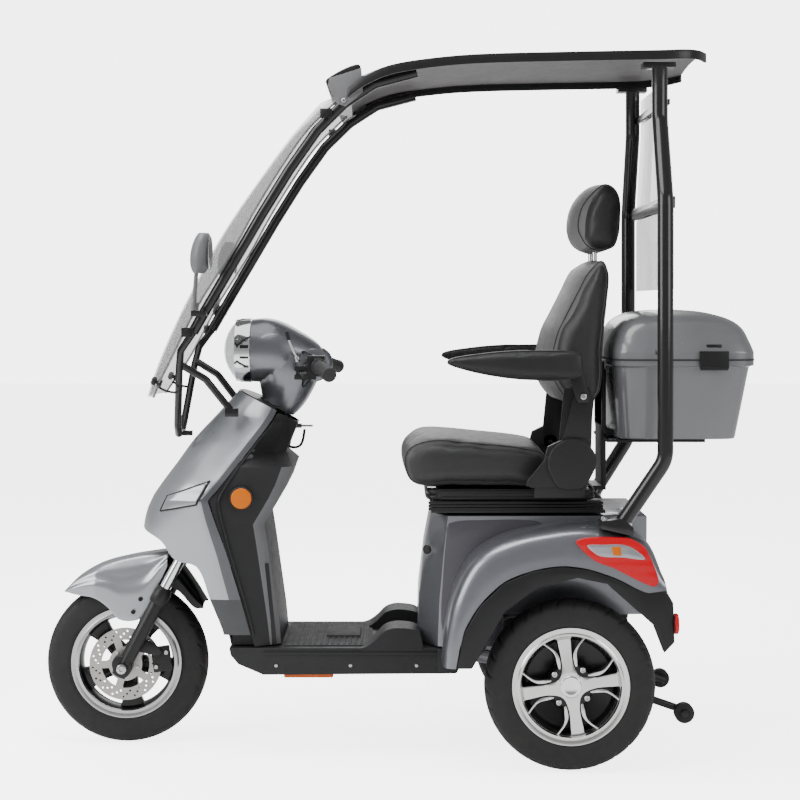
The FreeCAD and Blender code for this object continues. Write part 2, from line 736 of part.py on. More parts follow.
def rear_window():
    pane = Part.Face(closed_wire([Vector(-642, y, z) for y, z in (
        (-322, 1136), (322, 1136), (322, 1345), (232, 1545), (232, 1640), (-232, 1640),
        (-232, 1545), (-322, 1345))]))
    return pane.extrude(Vector(3, 0, 0))


ROOF_LEVELS = [
    # station, edge height, half-width, crown at the middle
    (-741, 1707, 190, 24), (-715, 1706, 250, 25), (-680, 1705, 280, 25), (-617, 1702, ROOF_HALF, 26),
    (-400, 1698, ROOF_HALF, 28), (-180, 1692, ROOF_HALF, 30), (-60, 1681, ROOF_HALF, 32),
    (26, 1666, 285, 36), (86, 1641, 272, 43), (128, 1612, 258, 48)]


def roof_section(station, edge_z, half, crown, drop, thickness):
    """A crowned strip across the roof with its edges turned down."""
    low = edge_z - drop
    a = Vector(station, -half, edge_z)
    b = Vector(station, 0, edge_z + crown)
    c = Vector(station, half, edge_z)
    d = Vector(station, half, low)
    e = Vector(station, half - thickness, low)
    f = Vector(station, half - thickness, edge_z - thickness)
    g = Vector(station, 0, edge_z + crown - thickness)
    h = Vector(station, -half + thickness, edge_z - thickness)
    i = Vector(station, -half + thickness, low)
    j = Vector(station, -half, low)
    edges = [Part.Arc(a, b, c).toShape(), Part.makeLine(c, d), Part.makeLine(d, e),
             Part.makeLine(e, f), Part.Arc(f, g, h).toShape(), Part.makeLine(h, i),
             Part.makeLine(i, j), Part.makeLine(j, a)]
    return Part.Wire(edges)


def roof_panel():
    return loft([roof_section(*level, 22, 5) for level in ROOF_LEVELS])


SCREEN_LEVELS = [
    # height, centre, edge, half-width
    (872, 634, 606, 118), (915, 620, 583, 176), (960, 603, 556, 214), (1034, 571, 518, 232),
    (1104, 538, 481, 234), (1242, 466, 394, 234), (1320, 418, 352, 233), (1425, 345, 288, 232),
    (1520, 275, 222, 230), (1581, 223, 160, 228), (1626, 182, 112, 226), (1660, 140, 72, 224)]


def windscreen():
    """A clear curved sheet, bowed forwards between its side tubes."""
    wires = []
    for z, centre_x, edge_x, half in SCREEN_LEVELS:
        outer = [Vector(edge_x, -half, z), Vector(centre_x, 0, z), Vector(edge_x, half, z)]
        inner = [point - Vector(4.5, 0, 0) for point in outer]
        edges = [Part.Arc(*outer).toShape(), Part.makeLine(outer[2], inner[2]),
                 Part.Arc(*inner[::-1]).toShape(), Part.makeLine(inner[0], outer[0])]
        wires.append(Part.Wire(edges))
    behind_roof_edge = block(0, ROOF_LEVELS[-1][0] + 4, -300, 300, 1500, 1700)
    return loft(wires).cut(behind_roof_edge)


FRONT_TUBE = [
    Vector(-40, 245, 1655), Vector(62, 242, 1628), Vector(134, 238, 1581), Vector(199, 232, 1517),
    Vector(265, 226, 1424), Vector(330, 222, 1320), Vector(416, 219, 1173), Vector(478, 217, 1068),
    Vector(497, 216, 1034), Vector(529, 200, 989), Vector(537, 164, 945), Vector(553, 66, 800),
    Vector(555, 30, 776)]


def canopy_front_frame():
    """Side tubes from the roof to a U-shaped stay, tied to the fairing by two arms."""
    left = FRONT_TUBE
    right = [Vector(p.x, -p.y, p.z) for p in reversed(left)]
    upper = left[:9]
    lower = left[8:]
    hoop = bent_rod(lower + [Vector(p.x, -p.y, p.z) for p in reversed(lower)], 9, 14)
    members = [hoop]
    for side in (-1, 1):
        points = [Vector(p.x, side * p.y, p.z) for p in upper]
        members.append(bent_rod(points, FRONT_TUBE_RADIUS, 40))
        members.append(bent_rod([
            Vector(531, side * 157, 952), Vector(475, side * 146, 918), Vector(412, side * 134, 838)],
            9, 30))
        pad_low, pad_high = sorted((side * 122.0, side * 146.0))
        members.append(block(396, 428, pad_low, pad_high, 826, 846))
        for x_high, inside, outside in ((484, 222.0, 240.0), (498, 237.0, 258.0)):
            low, high = sorted((side * inside, side * outside))
            members.append(block(462, x_high, low, high, 1072, 1086))
        base = Vector(489, side * 250, 1080)
        members.append(rod(base, base + Vector(0, 0, 22), 4))
    members.append(block(524, 556, -8, 8, 770, 782))
    return fuse(members)


def windscreen_clamps():
    """Blocks that grip the windscreen's edge beside each tube, and their knobs."""
    solids = []
    for x, y, z in ((508, 239, 1034), (176, 251, 1556)):
        body = block(x - 14, x + 14, y, y + 11, z - 11, z + 11)
        knob = rod(Vector(x, y + 11, z), Vector(x, y + 19, z), 7)
        solids += pair(body.fuse(knob))
    return solids


def mirror(side):
    """A head on a bent stem that turns on a pin at the side tube."""
    base = Vector(489, 250, 1086.4)
    sleeve = rod(base, base + Vector(0, 0, 18), 9)
    stem = bent_rod([base + Vector(0, 6, 12), Vector(486, 282, 1128), Vector(478, 306, 1190)], 5, 16)
    sections = []
    for z, half_width, half_depth in ((1174, 34, 12), (1190, 52, 21), (1222, 58, 25), (1252, 50, 20),
                                      (1268, 30, 12)):
        centre_x = 466 - (z - 1221) * 0.12
        ellipse = Part.Ellipse(Vector(0, 0, 0), half_width, half_depth).toShape()
        wire = Part.Wire(ellipse)
        wire.rotate(Vector(0, 0, 0), Vector(0, 0, 1), 90)
        wire.translate(Vector(centre_x, 318, z))
        sections.append(wire)
    head = loft(sections, False)
    pin_bore = rod(base - Vector(0, 0, 1), base + Vector(0, 0, 16), 4 + RUNNING_GAP)
    shape = fuse([sleeve, stem, head]).cut(pin_bore)
    return shape if side > 0 else mirrored(shape)


# ---------------------------------------------------------------- seat and box

def seat_base_rails():
    """A base plate on the uprights, with two rails for the seat to slide on."""
    plate = block(-495, -75, -196, 196, 598, 604)
    skirt = block(-495, -75, -204, 204, 598, 605).cut(block(-490, -80, -199, 199, 590, 620))
    rails = [block(-490, -80, y - 13, y + 13, 604, 622) for y in (-150, 150)]
    return fuse([plate, skirt] + rails)


def seat_carriage():
    """Runners, seat pan, recliner housings, armrest uprights and the box's bracket."""
    members = [block(-460, -90, -200, 200, 636, 654)]
    for side in (-1, 1):
        y = side * 150
        runner = block(-455, -100, y - 22, y + 22, 606, 640)
        members.append(runner.cut(block(-460, -90, y - 14, y + 14, 600, 623)))
        low, high = sorted((side * 246.0, side * 266.0))
        members.append(side_plate([
            (-303, 682), (-300, 668), (-442, 660), (-467, 733), (-440, 780), (-397, 784),
            (-352, 762), (-338, 712)], low, high))
        low, high = sorted((side * 190.0, side * 256.0))
        members.append(block(-440, -320, low, high, 640, 654))
        members.append(block(-440, -320, *sorted((side * 247.0, side * 256.0)), 650, 690))
        members.append(cross_rod(BACK_PIVOT.x, BACK_PIVOT.z, *sorted((side * 236.0, side * 262.0)), 6))
        low, high = sorted((side * 254.0, side * 262.0))
        members.append(side_plate([
            (-380, 760), (-455, 760), (-459, 880), (-450, 897), (-422, 897), (-414, 870)], low, high))
        members.append(cross_rod(ARM_PIVOT.x, ARM_PIVOT.z, *sorted((side * 256.0, side * 275.0)), 5))
    members.append(block(-512, -440, -70, 70, 640, 650))
    members.append(block(-512, -500, -70, 70, 640, 940))
    members.append(side_plate([
        (-505, 764), (-745, 764), (-745, 771), (-505, 771)], -150, 150))
    carriage = fuse(members)
    clear = [cross_rod(BACK_PIVOT.x, BACK_PIVOT.z, *sorted((side * 236.5, side * 245.5)), 20)
             .cut(cross_rod(BACK_PIVOT.x, BACK_PIVOT.z, -300, 300, 6.01)) for side in (-1, 1)]
    return carriage.cut(clear)


def seat_cushion():
    cushion = side_plate([
        (-366, 664), (-366, 746), (-317, 760), (-90, 783), (-40, 781), (-4, 770), (8, 745),
        (4, 700), (-24, 664)], -CUSHION_HALF, CUSHION_HALF)
    return cushion.cut([block(-400, 20, 222, 240, 600, 690), block(-400, 20, -240, -222, 600, 690)])


BACK_OUTLINE = [
    (-462, 1215), (-410, 1130), (-362, 1035), (-345, 960), (-358, 902), (-417, 845), (-455, 842),
    (-484, 870), (-491, 974), (-503, 1111), (-510, 1205), (-500, 1218)]


def backrest():
    """The padded back, with side arms down to the recliner pivot."""
    back = side_plate(BACK_OUTLINE, -BACK_HALF, BACK_HALF)
    arms = []
    for side in (-1, 1):
        low, high = sorted((side * 238.0, side * 244.5))
        arms.append(side_plate([
            (-416, 722), (-384, 722), (-380, 760), (-400, 900), (-450, 900), (-430, 790)], low, high))
        arms.append(cross_rod(BACK_PIVOT.x, BACK_PIVOT.z, low, high, 19))
        low, high = sorted((side * 210.0, side * 243.0))
        arms.append(block(-446, -412, low, high, 862, 898))
    posts = [rod(Vector(HEADREST_POST_X, y, 1095), Vector(HEADREST_POST_X, y, 1230), 6 + RUNNING_GAP)
             for y in (-HEADREST_POST_HALF, HEADREST_POST_HALF)]
    pivot = cross_rod(BACK_PIVOT.x, BACK_PIVOT.z, -300, 300, 6 + RUNNING_GAP)
    return fuse([back] + arms).cut(posts + [pivot])


def headrest_cushion():
    pad = side_plate([
        (-452, 1228), (-424, 1262), (-418, 1300), (-432, 1352), (-468, 1394), (-500, 1406),
        (-532, 1396), (-551, 1360), (-545, 1290), (-530, 1232)], -130, 130)
    holes = [rod(Vector(HEADREST_POST_X, y, 1200), Vector(HEADREST_POST_X, y, 1330), 6 + RUNNING_GAP)
             for y in (-HEADREST_POST_HALF, HEADREST_POST_HALF)]
    return pad.cut(holes)


def headrest_posts():
    return [rod(Vector(HEADREST_POST_X, y, 1100), Vector(HEADREST_POST_X, y, 1329), 6)
            for y in (-HEADREST_POST_HALF, HEADREST_POST_HALF)]


def armrest(side):
    """A long pad that flips up on the upright's bolt."""
    pad = side_plate([
        (-108, 962), (-118, 974), (-260, 994), (-420, 991), (-432, 978), (-430, 930), (-398, 920),
        (-260, 922), (-200, 934), (-112, 948)], 268, 316)
    bracket = side_plate([
        (-452, 876), (-446, 867), (-424, 867), (-418, 876), (-396, 940), (-430, 940)], 264.5, 270)
    lug = cross_rod(ARM_PIVOT.x, ARM_PIVOT.z, 264.5, 272, 16)
    bore = cross_rod(ARM_PIVOT.x, ARM_PIVOT.z, 260, 280, 5 + RUNNING_GAP)
    shape = fuse([pad, bracket, lug]).cut(bore)
    return shape if side > 0 else mirrored(shape)


def box_ring(x_front, x_rear, half, z, inset=0.0):
    """A rectangle with cut corners, used as a level of the rear box."""
    front = x_front - inset
    rear = x_rear + inset
    side = half - inset
    corner = 30.0
    points = [(front, side - corner), (front - corner, side), (rear + corner, side),
              (rear, side - corner)]
    points += [(x, -y) for x, y in reversed(points)]
    return level_wire(points, z)


def box_base():
    """The luggage box's tub, with a rim and the pin of its lid hinge."""
    outer = loft([box_ring(-536, -816, 186, 773), box_ring(-515, -856, 208, BOX_RIM_Z)])
    inner = loft([box_ring(-536, -816, 186, 777, WALL), box_ring(-515, -856, 208, BOX_RIM_Z + 1, WALL)])
    rim = loft([box_ring(-513, -866, 213, 952), box_ring(-513, -866, 213, BOX_RIM_Z)])
    rim = rim.cut(loft([box_ring(-515, -856, 208, 950, 2), box_ring(-515, -856, 208, 970, 2)]))
    pin = cross_rod(BOX_HINGE.x, BOX_HINGE.z, -60, 60, 3)
    lugs = [side_plate([(-516, 950), (-516, 964), (-511.5, 966.5), (-511.5, 976), (-502, 976),
                        (-502, 966), (-510, 950)], y, y + 8) for y in (-68, 60)]
    return fuse([outer.cut(inner), rim, pin] + lugs)


def box_lid():
    """The domed lid, with hinge knuckles on the base's pin."""
    levels = [(-513, -866, 213, 967), (-513, -866, 213, 985), (-518, -856, 204, 1010),
              (-530, -838, 188, 1046), (-552, -800, 162, 1072), (-590, -740, 120, 1088)]
    outer = loft([box_ring(*level) for level in levels])
    inner_levels = [(front, rear, half, z - 4 if z > 967 else 966) for front, rear, half, z in levels]
    inner = loft([box_ring(*level, WALL) for level in inner_levels])
    knuckles = [cross_ring(BOX_HINGE.x, BOX_HINGE.z, low, low + 30, 5.5, 3 + RUNNING_GAP)
                for low in (-52, 22)]
    webs = [block(-520, -508.5, low, low + 30, 973, 977) for low in (-52, 22)]
    bore = cross_rod(BOX_HINGE.x, BOX_HINGE.z, -70, 70, 3 + RUNNING_GAP)
    return fuse([outer.cut(inner)] + knuckles + webs).cut(bore)


def box_latch():
    """The side latch: a flap on a pin along the box's left side."""
    flap = block(-790, -720, 216, 221, 946, 988)
    barrel = rod(Vector(-788, 218.5, 946), Vector(-722, 218.5, 946), 4)
    return flap.fuse(barrel)


def main():
    os.makedirs("parts", exist_ok=True)
    export("front_tyre", tyre(FRONT_AXLE, FRONT_TYRE_HALF))
    export("front_rim", front_rim())
    export("front_brake_disc", front_brake_disc())
    for side, label in ((1, "left"), (-1, "right")):
        centre = Vector(REAR_AXLE_X, side * REAR_TRACK_HALF, TYRE_RADIUS)
        export("rear_tyre_" + label, tyre(centre, REAR_TYRE_HALF))
        export("rear_rim_" + label, rear_rim(side))
        export("brake_lever_" + label, brake_lever(side))
        export("mirror_" + label, mirror(side))
        export("armrest_" + label, armrest(side))
        export("anti_tip_roller_" + label, anti_tip_roller(side))
    export("fork_legs", fork_legs())
    export("front_fender", front_fender())
    export("front_caliper", front_caliper())
    export("fork_stanchions", *fork_stanchions())
    export("steering_stem", steering_stem())
    export("handlebar", handlebar())
    export("headlight_shell", headlight_shell())
    export("headlight_lens", headlight_lens())
    export("left_grip", grip(1, BAR_RADIUS + RUNNING_GAP))
    export("throttle_grip", grip(-1, BAR_RADIUS + 2 * RUNNING_GAP))
    export("switch_housings", *switch_housings())
    export("steering_bearings", *steering_bearings())
    export("chassis_frame", chassis_frame())
    export("shock_absorbers", *shock_absorbers())
    export("rear_axle_housing", rear_axle_housing())
    export("battery_pack", *battery_pack())
    export("motor_controller", motor_controller())
    export("front_shield", front_shield())
    export("front_marker_lights", *front_marker_lights())
    export("inner_leg_shield", inner_leg_shield())
    export("ignition_key", ignition_key())
    export("side_reflectors", *side_reflectors())
    export("floor_pan", floor_pan())
    export("floor_mat", floor_mat())
    export("belly_tray", belly_tray())
    export("rear_body", rear_body())
    export("rear_fenders", *rear_fenders())
    export("fender_trims", *fender_trims())
    export("rear_lamps", *rear_lamps())
    export("plate_holder", plate_holder())
    export("canopy_rear_frame", canopy_rear_frame())
    export("canopy_front_frame", canopy_front_frame())
    export("roof_panel", roof_panel())
    export("windscreen", windscreen())
    export("windscreen_clamps", *windscreen_clamps())
    export("rear_window", rear_window())
    export("seat_base_rails", seat_base_rails())
    export("seat_carriage", seat_carriage())
    export("seat_cushion", seat_cushion())
    export("backrest", backrest())
    export("headrest_cushion", headrest_cushion())
    export("headrest_posts", *headrest_posts())
    export("box_base", box_base())
    export("box_lid", box_lid())
    export("box_latch", box_latch())


main()
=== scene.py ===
"""A canopied three-wheeled mobility scooter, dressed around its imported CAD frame."""

import json
import logging
import math
from contextlib import contextmanager
from dataclasses import dataclass, field
from enum import Enum
from typing import Callable, Iterable, Iterator, Sequence

import bpy
from mathutils import Matrix, Vector


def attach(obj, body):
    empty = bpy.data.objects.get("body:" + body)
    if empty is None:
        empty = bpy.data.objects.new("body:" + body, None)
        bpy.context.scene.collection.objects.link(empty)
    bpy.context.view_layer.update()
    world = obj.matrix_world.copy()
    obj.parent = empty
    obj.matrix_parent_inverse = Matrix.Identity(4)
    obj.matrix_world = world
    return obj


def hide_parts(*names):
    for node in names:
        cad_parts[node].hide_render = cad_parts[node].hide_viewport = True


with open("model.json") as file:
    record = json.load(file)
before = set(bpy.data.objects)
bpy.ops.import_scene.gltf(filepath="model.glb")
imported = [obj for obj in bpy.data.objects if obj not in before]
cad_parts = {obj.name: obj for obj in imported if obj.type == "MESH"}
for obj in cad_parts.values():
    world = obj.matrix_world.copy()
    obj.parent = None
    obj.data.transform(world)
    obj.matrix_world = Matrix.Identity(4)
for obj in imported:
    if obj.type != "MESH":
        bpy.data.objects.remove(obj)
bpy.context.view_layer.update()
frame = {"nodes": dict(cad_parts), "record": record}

log = logging.getLogger("scooter")

Piece = bpy.types.Object
Tree = bpy.types.NodeTree
Shader = bpy.types.Node
Socket = bpy.types.NodeSocket
Pair = tuple[float, float]
Colour = tuple[float, float, float]
Place = Callable[[float, float], Vector]

DATUM_SHIFT_MM = -11.5
MERGE_MM = 0.02
RAKE = math.radians(28.0)
STEER_UP = Vector((-math.sin(RAKE), 0.0, math.cos(RAKE)))
STEER_AHEAD = Vector((math.cos(RAKE), 0.0, math.sin(RAKE)))
SMOOTH_ANGLE = math.radians(32)
FLAT_ANGLE = math.radians(0.6)


class Side(Enum):
    """The rider's left or right, with the sign of its Y."""

    LEFT = 1
    RIGHT = -1

    @property
    def label(self) -> str:
        """The side's name as used in piece and node names."""
        return self.name.lower()

    @property
    def outward(self) -> Vector:
        """The direction away from the scooter's middle on this side."""
        return Vector((0, self.value, 0))

    def span(self, inner: float, outer: float) -> Pair:
        """Two distances from the middle as the lower and the higher Y."""
        low, high = sorted((self.value * inner, self.value * outer))
        return low, high


# ------------------------------------------------------------------ measuring


def at(x: float, y: float, z: float) -> Vector:
    """A point of the drawing datum, in millimetres, as a place in metres.

    Args:
        x: Forward of the datum.
        y: To the rider's left.
        z: Above the ground.

    Returns:
        The place in the frame.
    """
    return Vector((x + DATUM_SHIFT_MM, y, z)) / 1000


def steer_at(station: float, ahead: float = 0.0, side: float = 0.0) -> Vector:
    """A point along, ahead of and beside the raked steering axis, in millimetres.

    Args:
        station: Distance up the axis.
        ahead: Distance in front of the axis.
        side: Distance to the rider's left.

    Returns:
        The place in the frame.
    """
    return at(635, side, 202) + (STEER_UP * station + STEER_AHEAD * ahead) / 1000


def slopes(rows: Sequence[Sequence[float]], index: int, creases: Iterable[float], rising: bool) -> list[float]:
    """The slope of each column of a table at one row.

    Args:
        rows: The table, sorted by its first column.
        index: The row.
        creases: Keys where the curve breaks.
        rising: Whether the span asked about lies after the row.

    Returns:
        One slope for each column after the first.
    """
    low = max(index - 1, 0)
    high = min(index + 1, len(rows) - 1)
    if rows[index][0] in creases:
        low, high = (index, high) if rising else (low, index)
    run = (rows[high][0] - rows[low][0]) or 1.0
    return [(b - a) / run for a, b in zip(rows[low][1:], rows[high][1:])]


def read_table(table: Sequence[Sequence[float]], key: float, creases: Iterable[float] = ()) -> list[float]:
    """Reads a table smoothly between its rows.

    Args:
        table: Rows whose first value is the key.
        key: Where to read.
        creases: Keys where the curve breaks.

    Returns:
        The row's other values at that key.
    """
    rows = sorted(table)
    key = min(max(key, rows[0][0]), rows[-1][0])
    index = max(i for i, row in enumerate(rows[:-1]) if row[0] <= key)
    before, after = rows[index], rows[index + 1]
    run = after[0] - before[0]
    t = (key - before[0]) / run
    first = slopes(rows, index, creases, True)
    last = slopes(rows, index + 1, creases, False)
    values = []
    for a, b, m, n in zip(before[1:], after[1:], first, last):
        values.append((2 * t**3 - 3 * t**2 + 1) * a + (t**3 - 2 * t**2 + t) * run * m
                      + (3 * t**2 - 2 * t**3) * b + (t**3 - t**2) * run * n)
    return values


def smooth_line(points: Sequence[Sequence[float]], count: int, closed: bool = False) -> list[tuple]:
    """Evenly spaced points along a smooth line through the given ones.

    Args:
        points: The points that the line passes.
        count: How many points to give back.
        closed: Whether the line returns to its start.

    Returns:
        The points along the line.
    """
    path = list(points)
    if closed:
        path = path[-3:] + path + path[:4]
    rows = [(0.0, *path[0])]
    for before, after in zip(path, path[1:]):
        rows.append((rows[-1][0] + math.dist(before, after), *after))
    start, end = (rows[3][0], rows[3 + len(points)][0]) if closed else (0.0, rows[-1][0])
    steps = count if closed else count - 1
    return [tuple(read_table(rows, start + (end - start) * i / steps)) for i in range(count)]


# ------------------------------------------------------------------ mesh tools


def pick(obj: Piece) -> Piece:
    """Selects one object alone and makes it active."""
    bpy.ops.object.select_all(action="DESELECT")
    obj.select_set(True)
    bpy.context.view_layer.objects.active = obj
    return obj


@contextmanager
def editing(obj: Piece) -> Iterator[None]:
    """Opens a piece in edit mode with all of it selected, and closes it afterwards."""
    pick(obj)
    bpy.ops.object.mode_set(mode="EDIT")
    bpy.ops.mesh.select_all(action="SELECT")
    yield
    bpy.ops.object.mode_set(mode="OBJECT")


def newest(name: str) -> Piece:
    """Names the object that an operator has just added, and returns it."""
    obj = bpy.context.object
    obj.name = name
    obj.data.name = name
    return obj


def settle(obj: Piece) -> Piece:
    """Puts an object's place, turn and scale into its mesh."""
    pick(obj)
    bpy.ops.object.transform_apply(location=True, rotation=True, scale=True)
    return obj


def modify(obj: Piece, kind: str, **settings: object) -> Piece:
    """Adds a modifier, sets it up and applies it.

    Args:
        obj: The piece.
        kind: The modifier's type.
        settings: Its settings by name.

    Returns:
        The piece.
    """
    pick(obj)
    modifier = obj.modifiers.new(kind.title(), kind)
    for key, value in settings.items():
        setattr(modifier, key, value)
    bpy.ops.object.modifier_apply(modifier=modifier.name)
    return obj


def soften(obj: Piece, width_mm: float, segments: int = 2, angle: float = 34.0) -> Piece:
    """Rounds a piece's edges and smooths its faces.

    Args:
        obj: The piece.
        width_mm: How wide the rounding is.
        segments: Steps in the rounding.
        angle: Edges sharper than this, in degrees, are rounded.

    Returns:
        The piece.
    """
    modify(obj, "BEVEL", width=width_mm / 1000, segments=segments, limit_method="ANGLE",
           angle_limit=math.radians(angle), use_clamp_overlap=True)
    return shade(obj)


def shade(obj: Piece) -> Piece:
    """Smooths a piece's shading across its gentle edges."""
    pick(obj)
    bpy.ops.object.shade_smooth_by_angle(angle=SMOOTH_ANGLE)
    return obj


def tidy_mesh(obj: Piece, merge_mm: float = MERGE_MM, turn: bool = True) -> Piece:
    """Merges doubled points and turns the faces outwards.

    Args:
        obj: The piece.
        merge_mm: Points nearer than this become one.
        turn: Whether the faces are turned.

    Returns:
        The piece.
    """
    with editing(obj):
        bpy.ops.mesh.remove_doubles(threshold=merge_mm / 1000)
        if turn:
            bpy.ops.mesh.normals_make_consistent(inside=False)
    return obj


def surface(name: str, columns: int, rows: int, place: Place, turn: bool = True) -> Piece:
    """A grid whose points are moved onto a shaped surface.

    Args:
        name: The piece's name.
        columns: Cells along the first direction.
        rows: Cells along the second direction.
        place: Gives the point at (u, v), each from 0 to 1.
        turn: Whether the faces are turned outwards, for closed shapes.

    Returns:
        The piece.
    """
    bpy.ops.object.select_all(action="DESELECT")
    bpy.ops.mesh.primitive_grid_add(x_subdivisions=columns, y_subdivisions=rows, size=2)
    obj = newest(name)
    for vertex in obj.data.vertices:
        u = (vertex.co.x + 1) / 2
        v = (vertex.co.y + 1) / 2
        vertex.co = place(u, v)
    return tidy_mesh(obj, turn=turn)


def wall(obj: Piece, thickness_mm: float, offset: float = -1.0) -> Piece:
    """Gives a surface its thickness.

    Args:
        obj: The surface.
        thickness_mm: The wall's thickness.
        offset: -1 puts it behind the faces and 1 in front of them.

    Returns:
        The piece.
    """
    return modify(obj, "SOLIDIFY", thickness=thickness_mm / 1000, offset=offset, use_even_offset=False)


def slab(name: str, outline: Sequence[Vector], depth: Vector) -> Piece:
    """A disc reshaped to an outline and extruded.

    Args:
        name: The piece's name.
        outline: The corners in order, in metres.
        depth: How far and which way it is extruded.

    Returns:
        The piece.
    """
    bpy.ops.object.select_all(action="DESELECT")
    bpy.ops.mesh.primitive_circle_add(vertices=len(outline), fill_type="NGON")
    obj = newest(name)
    for vertex, corner in zip(obj.data.vertices, outline):
        vertex.co = corner
    with editing(obj):
        bpy.ops.mesh.extrude_region_move(TRANSFORM_OT_translate={"value": depth})
        bpy.ops.mesh.select_all(action="SELECT")
        bpy.ops.mesh.normals_make_consistent(inside=False)
    return obj


def side_slab(name: str, outline: Sequence[Pair], y_low: float, y_high: float) -> Piece:
    """A slab whose outline is drawn from the side, as (x, z) in datum millimetres."""
    corners = [at(x, y_low, z) for x, z in outline]
    return slab(name, corners, Vector((0, (y_high - y_low) / 1000, 0)))


def turned(name: str, profile: Sequence[Pair], origin: Vector, axis: Vector,
           segments: int = 64) -> Piece:
    """A closed profile turned about an axis.

    Args:
        name: The piece's name.
        profile: Points as (distance along the axis, radius), in millimetres.
        origin: Where the axis starts.
        axis: Which way it runs.
        segments: Steps round it.

    Returns:
        The piece.
    """
    along = axis.normalized()
    across = along.orthogonal().normalized()
    beside = along.cross(across)
    last = len(profile) - 1

    def place(u: float, v: float) -> Vector:
        """The point at one turn and one place along the profile."""
        distance, radius = profile[round(v * last)]
        angle = 2 * math.pi * u
        out = across * math.cos(angle) + beside * math.sin(angle)
        return origin + (along * distance + out * radius) / 1000

    return surface(name, segments, last, place)


def tube(name: str, points: Sequence[Vector], radius_mm: float, smooth: bool = True) -> Piece:
    """A round bar along a line.

    Args:
        name: The piece's name.
        points: The line's control points, in metres.
        radius_mm: The bar's radius.
        smooth: Whether the line curves between its points.

    Returns:
        The piece, as a mesh.
    """
    curve = bpy.data.curves.new(name, "CURVE")
    curve.dimensions = "3D"
    curve.bevel_depth = radius_mm / 1000
    curve.bevel_resolution = 4
    curve.resolution_u = 8
    curve.use_fill_caps = True
    spline = curve.splines.new("NURBS" if smooth else "POLY")
    spline.points.add(len(points) - 1)
    for knot, point in zip(spline.points, points):
        knot.co = (*point, 1.0)
    if smooth:
        spline.order_u = 3
        spline.use_endpoint_u = True
    obj = bpy.data.objects.new(name, curve)
    bpy.context.collection.objects.link(obj)
    pick(obj)
    bpy.ops.object.convert(target="MESH")
    return shade(tidy_mesh(newest(name)))


def rounded_block(name: str, low: Vector, high: Vector, radius_mm: float) -> Piece:
    """A block between two corners with rounded edges."""
    bpy.ops.object.select_all(action="DESELECT")
    bpy.ops.mesh.primitive_cube_add(size=1, location=(low + high) / 2, scale=high - low)
    obj = settle(newest(name))
    tidy_mesh(obj)
    return soften(obj, radius_mm, 3)


def joined(name: str, parts: Sequence[Piece]) -> Piece:
    """Joins meshes into one piece."""
    pick(parts[0])
    for part in parts[1:]:
        part.select_set(True)
    if len(parts) > 1:
        bpy.ops.object.join()
    return newest(name)


def cut(obj: Piece, *cutters: Piece) -> Piece:
    """Takes closed shapes out of a piece and removes them."""
    for cutter in cutters:
        modify(obj, "BOOLEAN", object=cutter, operation="DIFFERENCE", solver="EXACT")
        bpy.data.objects.remove(cutter)
    return obj


def copy_at(source: Piece, name: str, matrix: Matrix) -> Piece:
    """A copy with its own mesh, moved by a matrix."""
    mesh = source.data.copy()
    mesh.transform(matrix)
    if matrix.determinant() < 0:
        mesh.flip_normals()
    obj = bpy.data.objects.new(name, mesh)
    bpy.context.collection.objects.link(obj)
    return obj


def spread(name: str, source: Piece, matrices: Sequence[Matrix]) -> Piece:
    """Copies one small shape to many places and joins the copies.

    Args:
        name: The piece's name.
        source: The shape, removed afterwards.
        matrices: Where each copy goes.

    Returns:
        The joined piece.
    """
    copies = [copy_at(source, f"{name}_{index}", matrix) for index, matrix in enumerate(matrices)]
    bpy.data.objects.remove(source)
    return shade(joined(name, copies))


MIRROR_Y = Matrix.Diagonal((1, -1, 1, 1))


def both_sides(name: str, source: Piece) -> Piece:
    """Joins a left-hand shape with its mirror image."""
    return spread(name, source, [Matrix.Identity(4), MIRROR_Y])


def facing(origin: Vector, axis: Vector) -> Matrix:
    """The matrix that puts a shape made along +Z at a place and direction."""
    return Matrix.Translation(origin) @ axis.to_track_quat("Z", "Y").to_matrix().to_4x4()


def bolt_head(radius_mm: float, height_mm: float) -> Piece:
    """A domed socket-head bolt along +Z, standing on the origin."""
    bpy.ops.object.select_all(action="DESELECT")
    bpy.ops.mesh.primitive_cylinder_add(vertices=18, radius=radius_mm / 1000, depth=height_mm / 1000,
                                        location=(0, 0, height_mm / 2000))
    head = settle(newest("bolt"))
    bpy.ops.object.mode_set(mode="EDIT")
    bpy.ops.mesh.select_all(action="DESELECT")
    bpy.ops.mesh.select_mode(type="FACE")
    bpy.ops.object.mode_set(mode="OBJECT")
    for face in head.data.polygons:
        face.select = face.normal.z > 0.9
    bpy.ops.object.mode_set(mode="EDIT")
    bpy.ops.mesh.inset(thickness=radius_mm * 0.22 / 1000)
    bpy.ops.transform.translate(value=(0, 0, height_mm * 0.22 / 1000))
    bpy.ops.mesh.inset(thickness=radius_mm * 0.28 / 1000)
    bpy.ops.mesh.extrude_region_move(TRANSFORM_OT_translate={"value": (0, 0, -height_mm * 0.6 / 1000)})
    bpy.ops.object.mode_set(mode="OBJECT")
    return head


def refined(node: str, round_mm: float = 0.0, segments: int = 2) -> Piece:
    """A merged copy of a CAD node with softened edges.

    Args:
        node: The node's name.
        round_mm: How wide its edges are rounded.
        segments: Steps in the rounding.

    Returns:
        The copy, named after the node.
    """
    copy = copy_at(frame["nodes"][node], node + "_shell", Matrix.Identity(4))
    tidy_mesh(copy, MERGE_MM / 2, turn=False)
    if round_mm:
        with editing(copy):
            bpy.ops.mesh.dissolve_limited(angle_limit=FLAT_ANGLE)
        soften(copy, round_mm, segments)
    return shade(copy)


# ------------------------------------------------------------------ finishes


